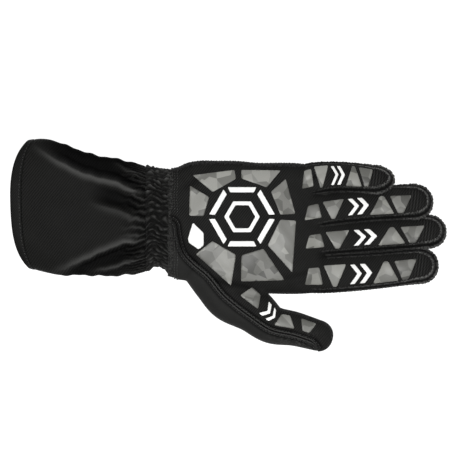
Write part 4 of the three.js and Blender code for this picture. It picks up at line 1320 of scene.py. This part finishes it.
def plate(name, loops, height, spacing=1.1):
    """loops: the outline first, then any holes. Returns a plate that lies on the skin."""
    rims = [anticlockwise(loop) if i == 0 else anticlockwise(loop)[::-1] for i, loop in enumerate(loops)]
    tops = [inset_loop(rim, SLOPE_MM) for rim in rims]
    flat = np.concatenate(tops)
    edges, base = [], 0
    for rim in tops:
        n = len(rim)
        edges += [(base + i, base + (i + 1) % n) for i in range(n)]
        base += n
    gx, gy = np.meshgrid(*[np.arange(low, high, spacing) for low, high in zip(flat.min(0), flat.max(0))])
    grid = np.stack([gx.ravel() + (gy.ravel() // spacing % 2) * spacing / 2, gy.ravel()], -1)
    grid = grid[within(tops, grid)]
    if len(grid):
        gap = np.sqrt(((grid[:, None] - flat[None]) ** 2).sum(-1)).min(1)
        grid = grid[gap > spacing * 0.55]
    cloud = np.concatenate([flat, grid])
    out = delaunay_2d_cdt([Vector(p) for p in cloud], edges, [], 0, 1e-7)
    points2, faces = np.array([tuple(p) for p in out[0]]), [list(f) for f in out[2]]
    centres = np.array([points2[f].mean(0) for f in faces])
    faces = [f for f, good in zip(faces, within(tops, centres)) if good]
    places, directions = dropped(points2)
    lifted = places + directions * height
    base = len(lifted)
    points = [lifted]
    for rim, top_rim in zip(rims, tops):
        n = len(rim)
        index = [int(((points2 - p) ** 2).sum(1).argmin()) for p in top_rim]
        mid_places, mid_directions = dropped(inset_loop(rim, BEND_MM))
        rim_places, rim_directions = dropped(rim)
        points += [mid_places + mid_directions * height * 0.7, rim_places - rim_directions * SUNK_MM]
        for i in range(n):
            j = (i + 1) % n
            faces.append([index[j], index[i], base + i, base + j])
            faces.append([base + j, base + i, base + n + i, base + n + j])
        base += 2 * n
    return mesh_object(name, np.concatenate(points), faces)


def printed(name, outlines, corner, tone, height=PRINT_MM):
    piece = plate(f"print_{name}", [rounded_outline(corners, corner) for corners in outlines], height)
    finished(piece, grips[tone], "white_print" if tone == "white" else f"{tone}_grip_silicone", name)


print("print height, mm:", PRINT_MM)

# %% [markdown]
# The palm's shards lie round the hexagon as polar sectors with straight sides. The shards of a limb are
# four-sided, and a chevron has a bent middle.

# %% The prints
for name, start, end, inner, outer_start, outer_end, tone in PALM_SHARDS:
    corners = [polar(inner, start), polar(outer_start, start), polar(outer_end, end), polar(inner, end)]
    printed(name, [corners], CORNER_MM, tone)
printed("palm_patch", [PATCH_MM], CORNER_MM, "white")
for i in range(6):
    corners = [polar(r, a + 60 * i) for r, a in HEXAGON_BAR]
    printed(f"hexagon_bar_{i + 1}", [corners], 0.5, "white", WHITE_MM)
printed("hexagon_core", [[polar(r, 60 * k) for k in range(6)] for r in HEXAGON_RINGS], 0.6, "white", WHITE_MM)
limb_prints = [(name, item["limb"], item["steps"], FINGER_SHARDS, -0.78, item["row"]["far"], 0.5)
               for name, item in fingers.items()]
limb_prints.append(("thumb", thumb, thumb_steps, THUMB_SHARDS, 1, 1, 0.4))
for name, limb, steps, shards, near_by, far_by, white_corner in limb_prints:
    for part, start, end, near, far, lean, bend, tone in shards:
        outline = limb_outline(limb, steps, start, end, near * near_by, far * far_by, lean, bend)
        corner, height = (white_corner, WHITE_MM) if tone == "white" else (CORNER_MM, PRINT_MM)
        printed(f"{name}_{part}", [outline], corner, tone, height)

# %% [markdown]
# ## Stitches
# Each stitch is a short rounded length of thread, laid along a path at an even pitch. One Geometry Nodes
# tree sets them: the path becomes a curve, points are spread along it, and each point gets a stitch that
# is turned along the path and stands on the cloth. Its inputs are the pitch, the length and the thickness.

# %% Stitch tree
def stitch_tree():
    tree = bpy.data.node_groups.new("stitch_row", "GeometryNodeTree")
    face = tree.interface
    face.new_socket("Geometry", in_out="INPUT", socket_type="NodeSocketGeometry")
    ids = {}
    for name, value in (("Pitch", 2.4 * MM), ("Stitch length", 1.7 * MM), ("Thread thickness", 0.4 * MM)):
        socket = face.new_socket(name, in_out="INPUT", socket_type="NodeSocketFloat")
        socket.default_value = value
        ids[name] = socket.identifier
    socket = face.new_socket("Thread", in_out="INPUT", socket_type="NodeSocketMaterial")
    ids["Thread"] = socket.identifier
    face.new_socket("Geometry", in_out="OUTPUT", socket_type="NodeSocketGeometry")
    given = add(tree, "NodeGroupInput")
    curve = add(tree, "GeometryNodeMeshToCurve", {}, Mesh=given.outputs["Geometry"])
    spread = add(tree, "GeometryNodeResampleCurve", {"mode": "LENGTH"}, Curve=curve.outputs[0],
                 Length=given.outputs["Pitch"])
    bead = add(tree, "GeometryNodeMeshUVSphere", {"Segments": 8, "Rings": 6, "Radius": 0.5})
    size = add(tree, "ShaderNodeCombineXYZ", {}, X=given.outputs["Stitch length"],
               Y=given.outputs["Thread thickness"], Z=given.outputs["Thread thickness"])
    shaped = add(tree, "GeometryNodeTransform", {}, Geometry=bead.outputs[0], Scale=size.outputs[0])
    along = add(tree, "GeometryNodeInputTangent")
    normal = add(tree, "GeometryNodeInputNamedAttribute", {"data_type": "FLOAT_VECTOR", "Name": "cloth_up"})
    turn = add(tree, "FunctionNodeAlignRotationToVector", {"axis": "X"}, Vector=along.outputs[0])
    stand = add(tree, "FunctionNodeAlignRotationToVector", {"axis": "Z", "pivot_axis": "X"},
                Rotation=turn.outputs[0], Vector=normal.outputs[0])
    placed = add(tree, "GeometryNodeInstanceOnPoints", {}, Points=spread.outputs[0],
                 Instance=shaped.outputs[0], Rotation=stand.outputs[0])
    real = add(tree, "GeometryNodeRealizeInstances", {}, Geometry=placed.outputs[0])
    dressed = add(tree, "GeometryNodeSetMaterial", {}, Geometry=real.outputs[0],
                  Material=given.outputs["Thread"])
    add(tree, "NodeGroupOutput", {}, Geometry=dressed.outputs[0])
    return tree, ids


STITCHES, STITCH_IDS = stitch_tree()
print("sizes of a row of stitches:", list(STITCH_IDS))


def stitched(name, paths, pitch_mm, length_mm, thickness_mm):
    """paths: pairs of points and directions up, in mm. All rows become one piece."""
    points, edges, ups, base = [], [], [], 0
    for path, tops in paths:
        points.append(path)
        ups.append(tops)
        edges += [(base + i, base + i + 1) for i in range(len(path) - 1)]
        base += len(path)
    mesh = bpy.data.meshes.new(name + "_path")
    mesh.from_pydata(((np.concatenate(points) + ORIGIN) * MM).tolist(), edges, [])
    attribute = mesh.attributes.new("cloth_up", "FLOAT_VECTOR", "POINT")
    attribute.data.foreach_set("vector", np.concatenate(ups).ravel())
    carrier = in_scene(name + "_path", mesh)
    rows = carrier.modifiers.new("stitches", "NODES")
    rows.node_group = STITCHES
    rows[STITCH_IDS["Pitch"]] = pitch_mm * MM
    rows[STITCH_IDS["Stitch length"]] = length_mm * MM
    rows[STITCH_IDS["Thread thickness"]] = thickness_mm * MM
    rows[STITCH_IDS["Thread"]] = thread
    graph = bpy.context.evaluated_depsgraph_get()
    result = bpy.data.meshes.new_from_object(carrier.evaluated_get(graph))
    bpy.data.objects.remove(carrier)
    result.polygons.foreach_set("use_smooth", [True] * len(result.polygons))
    finished(in_scene(name, result), None, "stretch_knit")

# %% [markdown]
# The rows: one round the hem, one on each side of the thumb's ridge, and two where the palm starts at the
# wrist. The hem's row lies in its groove.

# %% Stitch rows
def ring_ups(ring):
    return unit(np.cross(np.array([1.0, 0, 0]), np.roll(ring, -1, axis=0) - np.roll(ring, 1, axis=0)))


# The hem's row is set on the upper side. Across the underside it runs straight, hidden in the wall
hem_ring = mouth_ring(GROOVE_MM, 0.22)
above = hem_ring[:, 2] > 0.6
stitched("hem_stitches", [(hem_ring[above], ring_ups(hem_ring)[above])], 2.6, 1.8, 0.5)

ridge_rows = []
for side in (-2.2, 2.4):
    out = np.cross(unit(np.gradient(ridge_points, axis=0)), ridge_tops)
    row_places, row_tops = dropped((ridge_points + out * side)[:, :2])
    ridge_rows.append((softened(row_places) + row_tops * 0.15, softened(row_tops, 20)))
stitched("thumb_seam_stitches", ridge_rows, 2.3, 1.6, 0.42)

wrist_rows = []
for x_mm in (3.4, 5.4):
    ring = hand_ring(x_mm, 0.12)
    top_side = ring[:, 2] > PALM_HEIGHT * AXIS_SHARE * 0.6
    ring, ups = ring[top_side], ring_ups(ring)[top_side]
    order = np.argsort(-ring[:, 1])
    wrist_rows.append((ring[order], ups[order]))
stitched("wrist_stitches", wrist_rows, 2.2, 1.5, 0.4)

# %% [markdown]
# ## Floor, light and camera
# The photograph looks straight down on the glove against white. A large soft light above and a little
# from the lower left gives the folds their soft bright crests, and a weak one from the other side opens the
# shadows. The floor's paper gives off light of its own, which keeps it white.

# %% Stage
def area_light(name, place, size, power):
    light = bpy.data.lights.new(name, "AREA")
    light.shape = "SQUARE"
    light.size = size
    light.energy = power
    lamp = in_scene(name, light)
    lamp.location = place
    lamp.rotation_euler = (Vector((0, 0, 0)) - Vector(place)).to_track_quat("-Z", "Y").to_euler()


FLOOR_M, FLOOR_Z = 3, -0.0005
floor_mesh = bpy.data.meshes.new("floor")
corners = [(x * FLOOR_M, y * FLOOR_M, FLOOR_Z) for x, y in ((-1, -1), (1, -1), (1, 1), (-1, 1))]
floor_mesh.from_pydata(corners, [], [(0, 1, 2, 3)])
floor = in_scene("floor", floor_mesh)
floor_paper, floor_tree = new_material("white_paper", 0.9, 0.0)
floor_shader = floor_tree.nodes["Principled BSDF"]
floor_shader.inputs["Base Color"].default_value = linear("#808080")
floor_shader.inputs["Emission Color"].default_value = linear("#ffffff")
floor_shader.inputs["Emission Strength"].default_value = 1.0
floor.data.materials.append(floor_paper)

area_light("above", (-0.05, -0.12, 1.1), 0.35, 12.8)
area_light("fill", (0.4, 0.5, 0.9), 0.9, 1.5)
world = bpy.data.worlds.new("room")
world.use_nodes = True
world.node_tree.nodes["Background"].inputs[0].default_value = (1, 1, 1, 1)
world.node_tree.nodes["Background"].inputs[1].default_value = 0.12
bpy.context.scene.world = world
bpy.context.scene.view_settings.view_transform = "Standard"
print("lights:", len(bpy.data.lights))

# %% [markdown]
# The glove is 340 mm long and fills 438 of the photograph's 452 pixels, so a pixel is 0.777 mm. The camera
# stands far off with a long lens, and its distance makes one pixel that size at half the glove's height.

# %% Camera
PIXEL_MM = 0.7766
VIEW_PX = 452
MID_HEIGHT_MM = 12
# The glove's own origin in the photograph, in pixels from its upper left corner
ORIGIN_PX = (170.5, 228.66)
LENS_MM, SENSOR_MM = 150.0, 36.0
view_mm = VIEW_PX * PIXEL_MM
lens = bpy.data.cameras.new("camera")
lens.lens = LENS_MM
lens.sensor_width = SENSOR_MM
lens.clip_end = 20
camera = in_scene("camera", lens)
middle = VIEW_PX / 2
aim_mm = ORIGIN + np.array([(middle - ORIGIN_PX[0]) * PIXEL_MM, (ORIGIN_PX[1] - middle) * PIXEL_MM, 0])
camera.location = (aim_mm[0] * MM, aim_mm[1] * MM, (MID_HEIGHT_MM + view_mm * LENS_MM / SENSOR_MM) * MM)
bpy.context.scene.camera = camera
print("camera height, m:", round(camera.location.z, 3))

# %% The end
bpy.context.view_layer.update()
